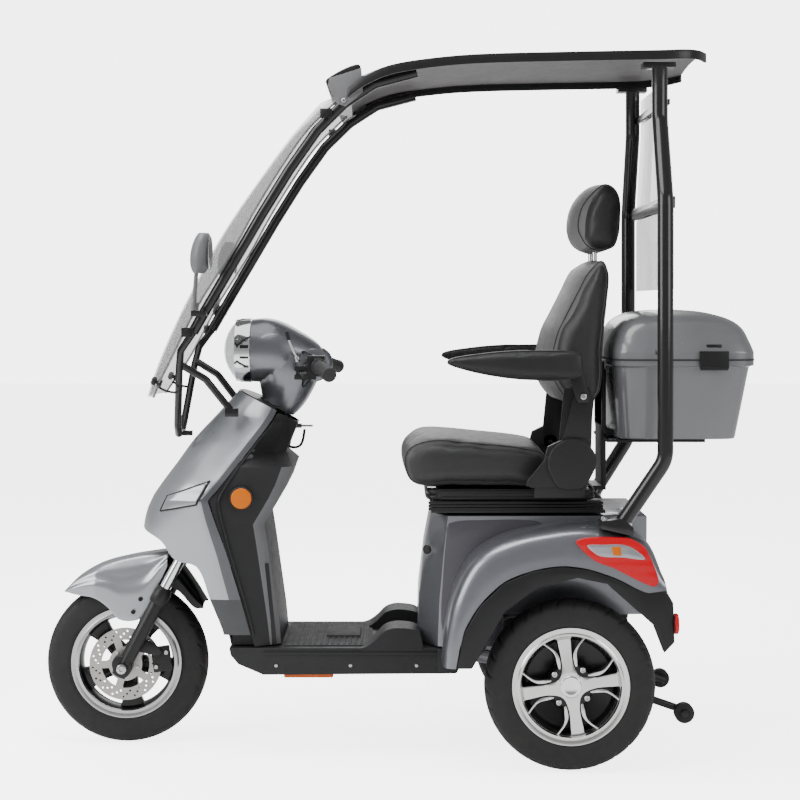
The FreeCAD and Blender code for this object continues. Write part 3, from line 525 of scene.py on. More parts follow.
@dataclass(frozen=True)
class Finish:
    """A moulded or painted finish with fine grain and soft mottling."""

    name: str
    slot: str
    colour: Colour
    roughness: float
    metallic: float = 0.0
    coat: float = 0.0
    grain: float = 0.12
    grain_mm: float = 0.6
    mottle: float = 0.14
    mottle_mm: float = 60.0
    shine: float = 0.5

    def tone(self, factor: float = 1.0) -> tuple[float, float, float, float]:
        """The colour made lighter or darker."""
        return (*(min(1.0, channel * factor) for channel in self.colour), 1.0)

    def mottled(self, tree: Tree, place: Socket) -> Socket:
        """The colour with its broad, soft variation."""
        broad = noise(tree, place, 1000 / self.mottle_mm, 4)
        return mix(tree, broad, self.tone(1 - self.mottle), self.tone(1 + self.mottle))

    def build(self) -> bpy.types.Material:
        """Makes the material once, and gives the same one afterwards."""
        title = f"{self.name}_finish"
        ready = bpy.data.materials.get(title)
        if ready:
            return ready
        material = bpy.data.materials.new(title)
        material.use_nodes = True
        shader = material.node_tree.nodes["Principled BSDF"]
        shader.inputs["Metallic"].default_value = self.metallic
        shader.inputs["Specular IOR Level"].default_value = self.shine
        shader.inputs["Coat Weight"].default_value = self.coat
        shader.inputs["Coat Roughness"].default_value = 0.06
        coordinates = material.node_tree.nodes.new("ShaderNodeTexCoord")
        self.wire(material.node_tree, shader, coordinates.outputs["Object"])
        return material

    def wire(self, tree: Tree, shader: Shader, place: Socket) -> None:
        """Links colour, roughness and bump.

        Args:
            tree: The material's nodes.
            shader: Its shader.
            place: The object coordinates.
        """
        tree.links.new(self.mottled(tree, place), shader.inputs["Base Color"])
        self.gloss(tree, shader, place)
        bump(tree, shader, noise(tree, place, 1000 / self.grain_mm, 2), self.grain, 0.0004)

    def gloss(self, tree: Tree, shader: Shader, place: Socket) -> None:
        """Varies the roughness as handling and dust do."""
        spots = tree.nodes.new("ShaderNodeMapRange")
        spots.inputs["To Min"].default_value = self.roughness * 0.8
        spots.inputs["To Max"].default_value = min(1.0, self.roughness * 1.25)
        tree.links.new(noise(tree, place, 3000 / self.mottle_mm, 3), spots.inputs["Value"])
        tree.links.new(spots.outputs["Result"], shader.inputs["Roughness"])


def noise(tree: Tree, place: Socket, scale: float, detail: float) -> Socket:
    """A noise pattern's value."""
    node = tree.nodes.new("ShaderNodeTexNoise")
    node.inputs["Scale"].default_value = scale
    node.inputs["Detail"].default_value = detail
    tree.links.new(place, node.inputs["Vector"])
    return node.outputs["Fac"]


def mix(tree: Tree, factor: Socket, first: tuple, second: tuple) -> Socket:
    """Two colours mixed by a pattern."""
    node = tree.nodes.new("ShaderNodeMix")
    node.data_type = "RGBA"
    node.inputs[6].default_value = first
    node.inputs[7].default_value = second
    tree.links.new(factor, node.inputs[0])
    return node.outputs[2]


def bump(tree: Tree, shader: Shader, height: Socket, strength: float,
         distance: float) -> None:
    """Drives a shader's normal from a height pattern."""
    node = tree.nodes.new("ShaderNodeBump")
    node.inputs["Strength"].default_value = strength
    node.inputs["Distance"].default_value = distance
    tree.links.new(height, node.inputs["Height"])
    tree.links.new(node.outputs["Normal"], shader.inputs["Normal"])


def cells(tree: Tree, place: Socket, scale: float, output: str) -> Socket:
    """A cell pattern's distance or colour."""
    node = tree.nodes.new("ShaderNodeTexVoronoi")
    node.inputs["Scale"].default_value = scale
    tree.links.new(place, node.inputs["Vector"])
    return node.outputs[output]


@dataclass(frozen=True)
class FlakePaint(Finish):
    """Metallic paint: fine flakes under a clear coat."""

    flake_mm: float = 0.9
    peel_mm: float = 9.0

    def wire(self, tree: Tree, shader: Shader, place: Socket) -> None:
        """Links flake colour, roughness and a faint orange peel."""
        flakes = cells(tree, place, 1000 / self.flake_mm, "Distance")
        tint = mix(tree, flakes, self.tone(0.9), self.tone(1.12))
        tree.links.new(tint, shader.inputs["Base Color"])
        self.gloss(tree, shader, place)
        bump(tree, shader, noise(tree, place, 1000 / self.peel_mm, 1), 0.03, 0.0004)


@dataclass(frozen=True)
class Vinyl(Finish):
    """Upholstery vinyl with pebbled leather grain, and a second colour past a seam."""

    side_colour: Colour = (0.03, 0.03, 0.032)
    seam_mm: float = 10000.0

    def wire(self, tree: Tree, shader: Shader, place: Socket) -> None:
        """Links the two panel colours, the sheen and the grain."""
        parts = tree.nodes.new("ShaderNodeSeparateXYZ")
        tree.links.new(place, parts.inputs["Vector"])
        width = tree.nodes.new("ShaderNodeMath")
        width.operation = "ABSOLUTE"
        tree.links.new(parts.outputs["Y"], width.inputs[0])
        past = tree.nodes.new("ShaderNodeMath")
        past.operation = "GREATER_THAN"
        past.inputs[1].default_value = self.seam_mm / 1000
        tree.links.new(width.outputs[0], past.inputs[0])
        face = self.mottled(tree, place)
        panel = tree.nodes.new("ShaderNodeMix")
        panel.data_type = "RGBA"
        panel.inputs[7].default_value = (*self.side_colour, 1.0)
        tree.links.new(face, panel.inputs[6])
        tree.links.new(past.outputs[0], panel.inputs[0])
        tree.links.new(panel.outputs[2], shader.inputs["Base Color"])
        self.gloss(tree, shader, place)
        bump(tree, shader, cells(tree, place, 1000 / self.grain_mm, "Distance"), self.grain, 0.0006)


@dataclass(frozen=True)
class Clear(Finish):
    """Clear or tinted sheet and lens plastic."""

    transmission: float = 1.0
    ior: float = 1.45
    alpha: float = 1.0

    def wire(self, tree: Tree, shader: Shader, place: Socket) -> None:
        """Sets the body of the plastic, and links its gloss."""
        shader.inputs["Transmission Weight"].default_value = self.transmission
        shader.inputs["IOR"].default_value = self.ior
        shader.inputs["Alpha"].default_value = self.alpha
        shader.inputs["Base Color"].default_value = self.tone()
        self.gloss(tree, shader, place)


@dataclass(frozen=True)
class RibbedLens(Clear):
    """A lamp lens with moulded flutes."""

    flute_mm: float = 4.0

    def wire(self, tree: Tree, shader: Shader, place: Socket) -> None:
        """Adds flutes to the plain lens."""
        super().wire(tree, shader, place)
        wave = tree.nodes.new("ShaderNodeTexWave")
        wave.inputs["Scale"].default_value = 1000 / self.flute_mm / 20
        wave.inputs["Distortion"].default_value = 0.0
        wave.bands_direction = "Z"
        tree.links.new(place, wave.inputs["Vector"])
        bump(tree, shader, wave.outputs["Fac"], 0.5, 0.001)


@dataclass(frozen=True)
class Brushed(Finish):
    """Machined or drawn metal with fine lines across one axis."""

    stretch: tuple[float, float, float] = (1.0, 0.05, 1.0)

    def wire(self, tree: Tree, shader: Shader, place: Socket) -> None:
        """Stretches the grain into lines."""
        mapping = tree.nodes.new("ShaderNodeMapping")
        mapping.inputs["Scale"].default_value = self.stretch
        tree.links.new(place, mapping.inputs["Vector"])
        lines = mapping.outputs["Vector"]
        tree.links.new(self.mottled(tree, lines), shader.inputs["Base Color"])
        self.gloss(tree, shader, place)
        bump(tree, shader, noise(tree, lines, 1000 / self.grain_mm, 2), self.grain, 0.0002)


SILVER = FlakePaint("silver_flake", "silver_paint", (0.30, 0.312, 0.335), 0.3, metallic=0.72, coat=0.5)
# Painted shade: the shield's own silver paint, darkened as it looks in shadow on its turned-in rear strip.
SILVER_PAINTED_SHADE = FlakePaint("silver_painted_shade", "silver_paint", (0.08, 0.081, 0.09), 0.36, metallic=0.5, coat=0.3)
BODY_SILVER = FlakePaint("body_silver", "silver_paint", (0.165, 0.168, 0.186), 0.3, metallic=0.7, coat=0.5)
PANEL_GREY = FlakePaint("panel_grey", "silver_paint", (0.05, 0.047, 0.056), 0.36, metallic=0.3, coat=0.2)
LOWER_GREY = Finish("lower_grey", "black_plastic", (0.05, 0.051, 0.054), 0.5, grain=0.25, shine=0.3)
BLACK_PLASTIC = Finish("grained_black", "black_plastic", (0.016, 0.016, 0.017), 0.5, grain=0.3, grain_mm=0.9,
                       shine=0.22)
SHIELD_EDGE = Finish("shield_edge", "black_plastic", (0.11, 0.111, 0.115), 0.45, grain=0.2, shine=0.4)
SATIN_BLACK = Finish("satin_black", "black_plastic", (0.010, 0.010, 0.0105), 0.38, grain=0.1, shine=0.25)
TUBE_BLACK = Finish("tube_black", "gloss_black", (0.010, 0.0092, 0.0096), 0.22, coat=0.25, grain=0.03,
                    shine=0.3)
FRAME_BLACK = Finish("frame_black", "frame_steel", (0.012, 0.012, 0.0125), 0.4, coat=0.05, shine=0.25)
TYRE_BLACK = Finish("tyre_black", "rubber", (0.013, 0.0125, 0.0125), 0.62, grain=0.35, grain_mm=1.4, mottle=0.3,
                    shine=0.3)
GRIP_BLACK = Finish("grip_black", "grip_rubber", (0.02, 0.02, 0.021), 0.6, grain=0.3, grain_mm=0.8, shine=0.3)
MAT_BLACK = Finish("mat_rubber", "grip_rubber", (0.04, 0.04, 0.042), 0.7, grain=0.4, grain_mm=1.2, mottle=0.25,
                   shine=0.3)
ALLOY = Brushed("machined_alloy", "alloy", (0.62, 0.61, 0.605), 0.2, metallic=1.0, grain=0.08, grain_mm=0.7,
                mottle=0.06, stretch=(1.0, 1.0, 1.0))
RIM_LIP = Brushed("rim_lip", "alloy", (0.42, 0.42, 0.43), 0.28, metallic=0.95, grain=0.05, mottle=0.08)
RIM_BLACK = Finish("rim_black", "gloss_black", (0.007, 0.007, 0.0075), 0.3, coat=0.1, grain=0.06, shine=0.25)
DISC_STEEL = Brushed("disc_steel", "disc_steel", (0.36, 0.35, 0.335), 0.36, metallic=0.9, grain=0.1,
                     grain_mm=0.5)
CHROME = Brushed("chrome", "chrome", (0.78, 0.78, 0.79), 0.08, metallic=1.0, grain=0.01, mottle=0.04)
CAST = Finish("cast_alloy", "cast_alloy", (0.2, 0.2, 0.21), 0.5, metallic=0.8, grain=0.5, grain_mm=1.5)
ZINC = Brushed("zinc_bolt", "chrome", (0.45, 0.45, 0.45), 0.28, metallic=1.0, grain=0.05, mottle=0.1)
BOX_GREY = Finish("box_grey", "box_grey", (0.125, 0.126, 0.134), 0.24, coat=0.4, grain=0.03, mottle=0.05)
ROOF_BLACK = Finish("roof_black", "black_plastic", (0.010, 0.010, 0.0105), 0.34, coat=0.05, grain=0.1,
                    shine=0.25)
ROOF_LINER = Finish("roof_liner", "silver_paint", (0.16, 0.155, 0.155), 0.6, grain=0.3, grain_mm=0.8,
                    shine=0.3)
SCREEN = Clear("screen_clear", "clear", (0.14, 0.14, 0.14), 0.03, transmission=0.0, alpha=0.5)
WINDOW = Clear("window_clear", "clear", (0.16, 0.158, 0.157), 0.05, transmission=0.0, alpha=0.55)
SMOKE = Clear("smoke", "smoke", (0.16, 0.16, 0.165), 0.2, transmission=0.0, alpha=0.72)
LENS_CLEAR = Clear("lens_clear", "lens_clear", (0.70, 0.72, 0.73), 0.02, transmission=0.0, alpha=0.5)
LENS_FROST = RibbedLens("lens_frost", "lens_clear", (0.30, 0.31, 0.33), 0.18, transmission=0.0,
                        metallic=0.55)
LENS_RED = RibbedLens("lens_red", "lens_red", (0.46, 0.002, 0.008), 0.12, transmission=0.0, shine=0.3)
LENS_AMBER = RibbedLens("lens_amber", "lens_amber", (0.50, 0.115, 0.002), 0.2, transmission=0.0, shine=0.25)
TRAY_ORANGE = Finish("tray_orange", "orange", (0.55, 0.09, 0.005), 0.45, grain=0.15, shine=0.3)
MIRROR_GLASS = Brushed("mirror_glass", "mirror", (0.85, 0.86, 0.87), 0.03, metallic=1.0, grain=0.0,
                       mottle=0.01)


def dress(obj: Piece, finish: Finish, body: str, *nodes: str) -> Piece:
    """Finishes a piece, puts it on its body and hides the nodes that it stands for.

    Args:
        obj: The piece.
        finish: Its finish.
        body: The CAD body that it moves with.
        nodes: The CAD nodes that it replaces.

    Returns:
        The piece.
    """
    if not obj.data.materials:
        obj.data.materials.append(finish.build())
    elif len(obj.data.materials) == 1:
        obj.data.materials[0] = finish.build()
    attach(obj, body)
    if nodes:
        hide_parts(*nodes)
    log.info("%s on %s in %s", obj.name, body, finish.name)
    return obj


# ------------------------------------------------------------------ studio


@dataclass
class Studio:
    """The camera, the floor and soft lights."""

    eye: Vector = field(default_factory=lambda: at(0, 4500, 1103.5))
    lens: float = 80.2
    shift: float = -0.121
    floor_glow: float = 0.2
    floor_white: float = 4.0
    backdrop: float = 5.0
    sky: float = 0.4

    def camera(self) -> None:
        """Stands the camera at the scooter's left, looking straight across."""
        bpy.ops.object.camera_add(location=self.eye, rotation=(math.radians(90), 0, math.radians(180)))
        camera = newest("camera")
        camera.data.lens = self.lens
        camera.data.shift_y = self.shift
        bpy.context.scene.camera = camera

    def floor(self) -> None:
        """A pale floor that runs past the view."""
        bpy.ops.mesh.primitive_plane_add(size=40, location=(0, 0, -0.0006))
        ground = newest("floor")
        pale = Finish("floor_pale", "silver_paint", (0.92, 0.92, 0.92), 0.8, grain=0.02, mottle=0.01, shine=0.1)
        paint = pale.build()
        shader = paint.node_tree.nodes["Principled BSDF"]
        shader.inputs["Emission Color"].default_value = (1.0, 1.0, 1.0, 1.0)
        self.brighten(paint.node_tree, shader.inputs["Emission Strength"], self.floor_glow, self.floor_white)
        ground.data.materials.append(paint)

    def brighten(self, tree: Tree, socket: Socket, light: float, seen: float) -> None:
        """Lets a white surround look brighter than the light that it gives.

        Args:
            tree: The surround's nodes.
            socket: The strength to drive.
            light: The strength that lights the scene.
            seen: The strength in plain view.
        """
        rays = tree.nodes.new("ShaderNodeLightPath")
        level = tree.nodes.new("ShaderNodeMapRange")
        level.inputs["To Min"].default_value = light
        level.inputs["To Max"].default_value = seen
        tree.links.new(rays.outputs["Is Camera Ray"], level.inputs["Value"])
        tree.links.new(level.outputs["Result"], socket)

    def lamp(self, name: str, place: Vector, aim: Vector, size: float, power: float) -> None:
        """A square soft light pointed at a place.

        Args:
            name: The light's name.
            place: Where it hangs.
            aim: What it points at.
            size: Its side in metres.
            power: Its power in watts.
        """
        bpy.ops.object.light_add(type="AREA", location=place)
        light = bpy.context.object
        light.name = name
        light.rotation_euler = (aim - place).to_track_quat("-Z", "Y").to_euler()
        light.data.size = size
        light.data.energy = power

    def build(self) -> None:
        """Sets up the whole studio."""
        self.camera()
        self.floor()
        middle = Vector((0, 0, 0.8))
        self.lamp("overhead", Vector((0.5, 0.4, 3.2)), middle, 2.2, 120)
        self.lamp("front_left", Vector((3.3, 1.7, 2.4)), middle, 2.6, 150)
        self.lamp("rear_left", Vector((-3.2, 2.4, 2.0)), middle, 2.0, 60)
        self.lamp("far_side", Vector((0.0, -3.5, 2.6)), middle, 2.5, 60)
        world = bpy.data.worlds.new("studio_sky")
        world.use_nodes = True
        tree = world.node_tree
        sky = tree.nodes["Background"]
        sky.inputs["Color"].default_value = (1.0, 1.0, 1.0, 1.0)
        self.brighten(tree, sky.inputs["Strength"], self.sky, self.backdrop)
        bpy.context.scene.world = world


# ------------------------------------------------------------------ front of the scooter


@dataclass
class FrontFairing:
    """The silver front shield, its lamps, and the dark leg shield behind it."""

    wall_mm: float = 3.5
    nose_height: float = 627.0
    skirt_height: float = 386.0
    levels: tuple = (
        (900, 392, 283, 104), (860, 428, 296, 112), (821, 464, 313, 121), (764, 517, 354, 147),
        (700, 564, 404, 178), (663, 592, 433, 197), (627, 617, 464, 207), (590, 634, 452, 205),
        (550, 643, 438, 203), (500, 645, 420, 199), (440, 645, 402, 195), (380, 645, 384, 192),
        (300, 645, 362, 188))
    sweep: tuple = ((0, 0, 1), (0.3, 0.34, 0.965), (0.5, 0.60, 0.86), (0.7, 0.82, 0.60), (0.84, 0.955, 0.27),
                    (0.9, 0.995, 0.13), (1, 0.985, 0))
    return_from: float = 0.9
    # Share of the depth, from the rear edge, that takes the darker silver as painted shade.
    painted_shade_share: float = 0.13
    reflector_x: float = 383.5
    reflector_y: float = 194.6
    reflector_z: float = 632.0

    def point(self, across: float, z: float, outset: float = 0.0) -> Vector:
        """A point on the shield.

        Args:
            across: -1 to 1 from the right rear edge to the left one.
            z: Height in millimetres.
            outset: How far outside the surface.

        Returns:
            The place in the frame.
        """
        front, rear, half = read_table(self.levels, z, (self.nose_height,))
        width, ahead = read_table(self.sweep, abs(across), (self.return_from,))
        x = rear + (front - rear + outset) * ahead
        return at(x, math.copysign((half + outset) * width, across), z)

    def flank(self, x: float, z: float, outset: float) -> Vector:
        """The point of the left flank seen at (x, z) from the side."""
        low, high = 0.0, 1.0
        for _ in range(24):
            middle = (low + high) / 2
            ahead_of = self.point(middle, z, outset).x > at(x, 0, 0).x
            low, high = (middle, high) if ahead_of else (low, middle)
        return self.point(low, z, outset)

    def shield(self) -> None:
        """The silver shell, open over the wheel and round the steering column."""
        top, bottom = 900, 300
        shell = surface("front_shield_shell", 72, 96,
                        lambda u, v: self.point(2 * u - 1, bottom + (top - bottom) * v), turn=False)
        for finish in (SILVER, SILVER_PAINTED_SHADE, LOWER_GREY):
            shell.data.materials.append(finish.build())
        with editing(shell):
            bpy.ops.mesh.bisect(plane_co=at(0, 0, self.skirt_height), plane_no=(0, 0, 1))
        for face in shell.data.polygons:
            z = face.center.z * 1000
            front, rear, _ = read_table(self.levels, z, (self.nose_height,))
            depth = (face.center.x * 1000 - DATUM_SHIFT_MM - rear) / (front - rear)
            # The lowest faces take the real dark-grey skirt; faces near the rear edge take the darker silver as
            # painted shade on the turned-in return.
            face.material_index = 2 if z < self.skirt_height else int(depth < self.painted_shade_share)
        wall(shell, self.wall_mm)
        wheel_well = [(x, z) for x, z in smooth_line(
            [(643, 549), (584, 523), (549, 480), (492, 463), (460, 385), (431, 314), (424, 290)], 30)]
        well = side_slab("well", [(730, 556)] + wheel_well + [(424, 270), (730, 270)], -300, 300)
        above = side_slab("above", [(250, 822), (300, 838), (402, 887), (440, 900), (440, 960), (250, 960)],
                          -300, 300)
        cut(shell, above, well, rod_between(steer_at(60), steer_at(425), 120),
            rod_between(steer_at(705), steer_at(800), 100))
        shade(shell)
        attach(shell, "chassis")
        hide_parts("front_shield")
        log.info("%s on chassis", shell.name)

    def top_cover(self) -> None:
        """The dark plate that closes the shield's top round the column."""
        rim = []
        for index in range(33):
            across = -1 + index / 16
            z = 838.0
            for _ in range(6):
                z = 826 + (self.point(across, z).x * 1000 - DATUM_SHIFT_MM - 250) * 0.40
            rim.append(self.point(across * 0.985, z, -4))
        plate = slab("shield_top_cover", rim, Vector((0.001, 0, -0.003)))
        cut(plate, rod_between(steer_at(640), steer_at(790), 64))
        dress(shade(plate), SATIN_BLACK, "chassis")

    def marker_lights(self) -> None:
        """A fluted lens in a dark frame on each flank."""
        corners = ((585, 597), (567, 634), (461, 673), (492, 617))

        def spot(s: float, t: float, outset: float) -> Vector:
            """A place on the lens, by shares along and up it."""
            bottom = [a + (b - a) * s for a, b in zip(corners[0], corners[3])]
            top = [a + (b - a) * s for a, b in zip(corners[1], corners[2])]
            x, z = (a + (b - a) * t for a, b in zip(bottom, top))
            return self.flank(x, z, outset)

        lens = surface("lens_half", 24, 14, lambda u, v: spot(0.03 + 0.94 * u, 0.05 + 0.9 * v, 1.6),
                       turn=False)
        lens = both_sides("marker_lenses", soften(wall(lens, 2.4, 1.0), 0.8))
        dress(lens, LENS_FROST, "chassis", "front_marker_lights")
        border = [(s, 0.0) for s in (0, 0.25, 0.5, 0.75, 1)] + [(1, 0.5), (1, 1)]
        border += [(s, 1.0) for s in (0.75, 0.5, 0.25, 0)] + [(0, 0.5), (0, 0)]
        edge = tube("border_half", [spot(s, t, 2.2) for s, t in border], 2.3, smooth=False)
        dress(both_sides("marker_borders", edge), SATIN_BLACK, "chassis")

    def reflectors(self) -> None:
        """A round amber reflector in a dark ring on each flank."""
        middle = at(self.reflector_x, self.reflector_y, self.reflector_z)
        lens = turned("reflector_half", [(0, 0), (0, 25.5), (5.5, 25.5), (7.5, 23), (8.6, 12), (9, 0)],
                      middle, Side.LEFT.outward, 48)
        dress(both_sides("amber_reflectors", lens), LENS_AMBER, "chassis", "side_reflectors")
        ring = turned("ring_half", [(0, 25.7), (0, 29), (6.4, 28.6), (7.2, 27.5), (6.6, 25.7), (0, 25.7)],
                      middle, Side.LEFT.outward, 48)
        dress(both_sides("reflector_rings", ring), SATIN_BLACK, "chassis")

    def leg_shield(self) -> None:
        """The dark inner panel with its raised border and lighter rear edge."""
        panel = refined("inner_leg_shield", 3.0, 3)
        panel.data.materials.clear()
        panel.data.materials.append(BLACK_PLASTIC.build())
        panel.data.materials.append(SHIELD_EDGE.build())
        for face in panel.data.polygons:
            rearward = face.normal.x < -0.45 and abs(face.center.y) > 0.14 and face.center.z > 0.30
            face.material_index = int(rearward and abs(face.normal.y) > 0.08)
        dress(panel, BLACK_PLASTIC, "chassis", "inner_leg_shield")
        border = [(317, 806), (351, 762), (418, 665), (441, 627), (432, 585), (410, 500), (386, 420), (366, 350),
                  (354, 300)]
        widths = ((834, 96), (764, 141), (663, 190), (627, 200), (510, 194), (400, 187), (272, 182))
        points = [at(x, read_table(widths, z)[0] + 0.2, z) for x, z in border]
        dress(both_sides("leg_shield_beads", tube("bead", points, 3.2)), SATIN_BLACK, "chassis")

    def bag_hook(self) -> None:
        """A curled hook and its boss on the rider's side of the column."""
        hook = tube("bag_hook", [at(296, 0, 748), at(272, 0, 738), at(252, 0, 742), at(243, 0, 762),
                                 at(241, 0, 786)], 3.4)
        boss = turned("hook_boss", [(0, 0), (0, 12), (8, 11), (12, 7), (12, 0)], at(288, 0, 750),
                      Vector((-1, 0, -0.25)), 24)
        dress(joined("bag_hook", [hook, boss]), SATIN_BLACK, "chassis")

    def build(self) -> None:
        """Makes the whole front body."""
        self.shield()
        self.top_cover()
        self.marker_lights()
        self.reflectors()
        self.leg_shield()
        self.bag_hook()
        dress(refined("ignition_key", 0.6), CAST, "key", "ignition_key")


def rod_between(start: Vector, end: Vector, radius_mm: float) -> Piece:
    """A closed rod used to cut with."""
    length = (end - start).length * 1000
    return turned("rod", [(0, 0), (0, radius_mm), (length, radius_mm), (length, 0)], start, end - start, 64)


@dataclass
class FrontFender:
    """The mudguard: a creased silver hood and a dark tail behind the fork."""

    half: float = 62.0
    spine: tuple = ((0, 841, 383, 2), (0.12, 806, 418, 44), (0.28, 762, 444.5, 76), (0.42, 728, 457.5, 112),
                    (0.52, 700, 465, 149), (0.68, 655, 474.4, 160), (0.80, 630, 478, 140), (0.92, 602, 481.5, 80),
                    (1, 580, 483.6, 36))
    tail: tuple = ((0, 612, 478, 78), (0.2, 588, 476, 76), (0.5, 553, 452, 62), (0.8, 514, 399, 50),
                   (1, 490, 356, 10))
    ribs: tuple = ((0, 0, 0), (0.3, 0.55, 0.03), (0.46, 0.80, 0.17), (0.62, 0.85, 0.36), (0.74, 1.0, 0.52),
                   (1, 0.985, 1))

    def skin(self, name: str, spine: tuple, inset: float) -> Piece:
        """One curved skin that follows a spine.

        Args:
            name: The piece's name.
            spine: Rows of (share along, x, top height, drop to the lower edge).
            inset: How far inside the full width.

        Returns:
            The thickened skin.
        """
        def place(u: float, v: float) -> Vector:
            """The point at one share along and across."""
            x, top, drop = read_table(spine, u)
            across = 1 - 2 * v
            width, fall = read_table(self.ribs, abs(across), (0.46, 0.62, 0.74))
            narrow = min(1.0, 0.55 + 1.6 * u) if spine is self.spine else 1.0
            y = (self.half - inset) * width * narrow
            return at(x, math.copysign(y, across), top - inset - drop * fall)

        return soften(wall(surface(name, 56, 50, place, turn=False), 3.0), 0.6, 2, 50)

    def build(self) -> None:
        """Makes the hood, the tail and their bolts."""
        dress(self.skin("front_fender_hood", self.spine, 0.0), SILVER, "fork", "front_fender")
        dress(self.skin("front_fender_tail", self.tail, 3.2), SATIN_BLACK, "fork")
        matrices = [facing(at(x, side.value * self.half, z), side.outward)
                    for x, z in ((646, 367), (664, 335)) for side in Side]
        dress(spread("fender_bolts", bolt_head(5.5, 4.0), matrices), SATIN_BLACK, "fork")


@dataclass
class Fork:
    """The fork's legs with their seals, axle lugs and nuts, and the brake caliper."""

    offset: float = 45.2
    half: float = 85.0
    top_station: float = 190.0

    def seals(self) -> None:
        """The stepped collar at the top of each leg."""
        rings = []
        for side in Side:
            rings.append(turned("seal", [(-34, 18.1), (-34, 21), (-30, 22.5), (-4, 22.5), (2, 20), (8, 17.5),
                                         (10, 13.7), (-2, 13.7), (-2, 18.1), (-34, 18.1)],
                                steer_at(self.top_station, self.offset, side.value * self.half), STEER_UP, 40))
        dress(shade(joined("fork_seals", rings)), SATIN_BLACK, "fork")

    def feet(self) -> None:
        """Cast lugs round the axle with a silver nut at each end."""
        lugs = []
        for side in Side:
            outline = smooth_line([(712, 214), (700, 232), (672, 226), (662, 203), (676, 180), (702, 184)],
                                  28, True)
            lugs.append(soften(side_slab("lug", outline, *side.span(74, 101)), 3, 3))
        dress(joined("axle_lugs", lugs), FRAME_BLACK, "fork")
        nuts = [facing(at(685.6, side.value * 111.5, 203), side.outward) for side in Side]
        dress(spread("axle_nuts", bolt_head(12.0, 7.0), nuts), ZINC, "fork")

    def caliper(self) -> None:
        """The caliper with its fixing bolts and its arm."""
        dress(refined("front_caliper", 2.0, 3), SATIN_BLACK, "fork", "front_caliper")
        centre = steer_at(32, self.offset - 74, 0)
        matrices = [facing(centre + Vector((x, 66, z)) / 1000, Side.LEFT.outward)
                    for x, z in ((-13, 18), (12, -18), (14, 20))]
        dress(spread("caliper_bolts", bolt_head(5.0, 4.0), matrices), ZINC, "fork")
        arm = side_slab("caliper_arm", [(648, 262), (633, 268), (600, 250), (590, 236), (604, 226), (650, 238)],
                        66.5, 74)
        dress(soften(arm, 2.5, 3), FRAME_BLACK, "fork")

    def build(self) -> None:
        """Makes the fork's dressed pieces."""
        dress(refined("fork_legs", 1.4, 3), FRAME_BLACK, "fork", "fork_legs")
        self.seals()
        self.feet()
        self.caliper()


# ------------------------------------------------------------------ wheels


@dataclass
class Tyre:
    """A tubeless tyre with a moulded tread and ringed sidewalls."""

    name: str
    centre: Vector
    half: float
    body: str
    node: str
    blocks: int = 22
    groove_mm: float = 3.6
    groove_share: float = 0.085
    slant: float = 1.0
    radius: float = 202.6
    tread_from: float = 184.0
    rib_share: float = 0.1

    def profile(self) -> list[Pair]:
        """The section as (across, radius), from bead to bead over the crown."""
        half = self.half
        bead = half - 5.4
        left = [(bead, 127.4), (bead, 138.6), (half * 0.955, 145.5), (half * 0.975, 147), (half * 0.985, 151),
                (half, 160), (half * 0.995, 170), (half * 0.965, 180), (half * 0.90, 188.2), (half * 0.72, 194.8),
                (half * 0.45, 199.8), (half * 0.2, 202.1), (0, self.radius)]
        right = [(-y, r) for y, r in reversed(left[:-1])]
        return smooth_line(left[1:] + right[:-1], 54) + [(-bead, 127.4), (bead, 127.4), (bead, 138.6)]

    def groove(self, turn: float, y: float, radius: float) -> float:
        """How deep the tread is cut at a place.

        Args:
            turn: Share of a full turn.
            y: Place across the tyre.
            radius: The section's radius there.

        Returns:
            The depth in millimetres.
        """
        share = abs(y) / self.half
        if radius < self.tread_from or share < self.rib_share:
            return 0.0
        phase = (turn * self.blocks + self.slant * share + (0.5 if y > 0 else 0.0)) % 1.0
        nearness = 1 - abs(phase - 0.5) / self.groove_share
        fade = min(1.0, (share - self.rib_share) / 0.08, (radius - self.tread_from) / 3)
        return self.groove_mm * max(0.0, min(1.0, nearness * 2.5)) * fade

    def build(self) -> None:
        """Makes the tyre."""
        section = self.profile()
        last = len(section) - 1

        def place(u: float, v: float) -> Vector:
            """The point at one turn and one place round the section."""
            y, radius = section[round(v * last)]
            radius -= self.groove(u, y, radius)
            angle = 2 * math.pi * u
            return self.centre + Vector((math.cos(angle) * radius, y, math.sin(angle) * radius)) / 1000

        tyre = surface(self.name, 396, last, place)
        dress(shade(tyre), TYRE_BLACK, self.body, self.node)


def spun(source: Piece, name: str, centre: Vector, count: int, first: float) -> Piece:
    """Copies a shape made along +X from the axle to equal angles round it.

    Args:
        source: The shape, with the axle at its origin.
        name: The joined piece's name.
        centre: The axle.
        count: How many copies.
        first: The first copy's angle from +X towards +Z, in degrees.

    Returns:
        The joined copies.
    """
    turns = [Matrix.Translation(centre) @ Matrix.Rotation(-math.radians(first + 360 * i / count), 4, "Y")
             for i in range(count)]
    return spread(name, source, turns)


def flat_outline(outline: Sequence[Pair], y_low: float, y_high: float, name: str = "flat") -> Piece:
    """A slab drawn about the wheel's axle as (x, z) millimetres."""
    corners = [Vector((x, y_low, z)) / 1000 for x, z in outline]
    return slab(name, corners, Vector((0, (y_high - y_low) / 1000, 0)))


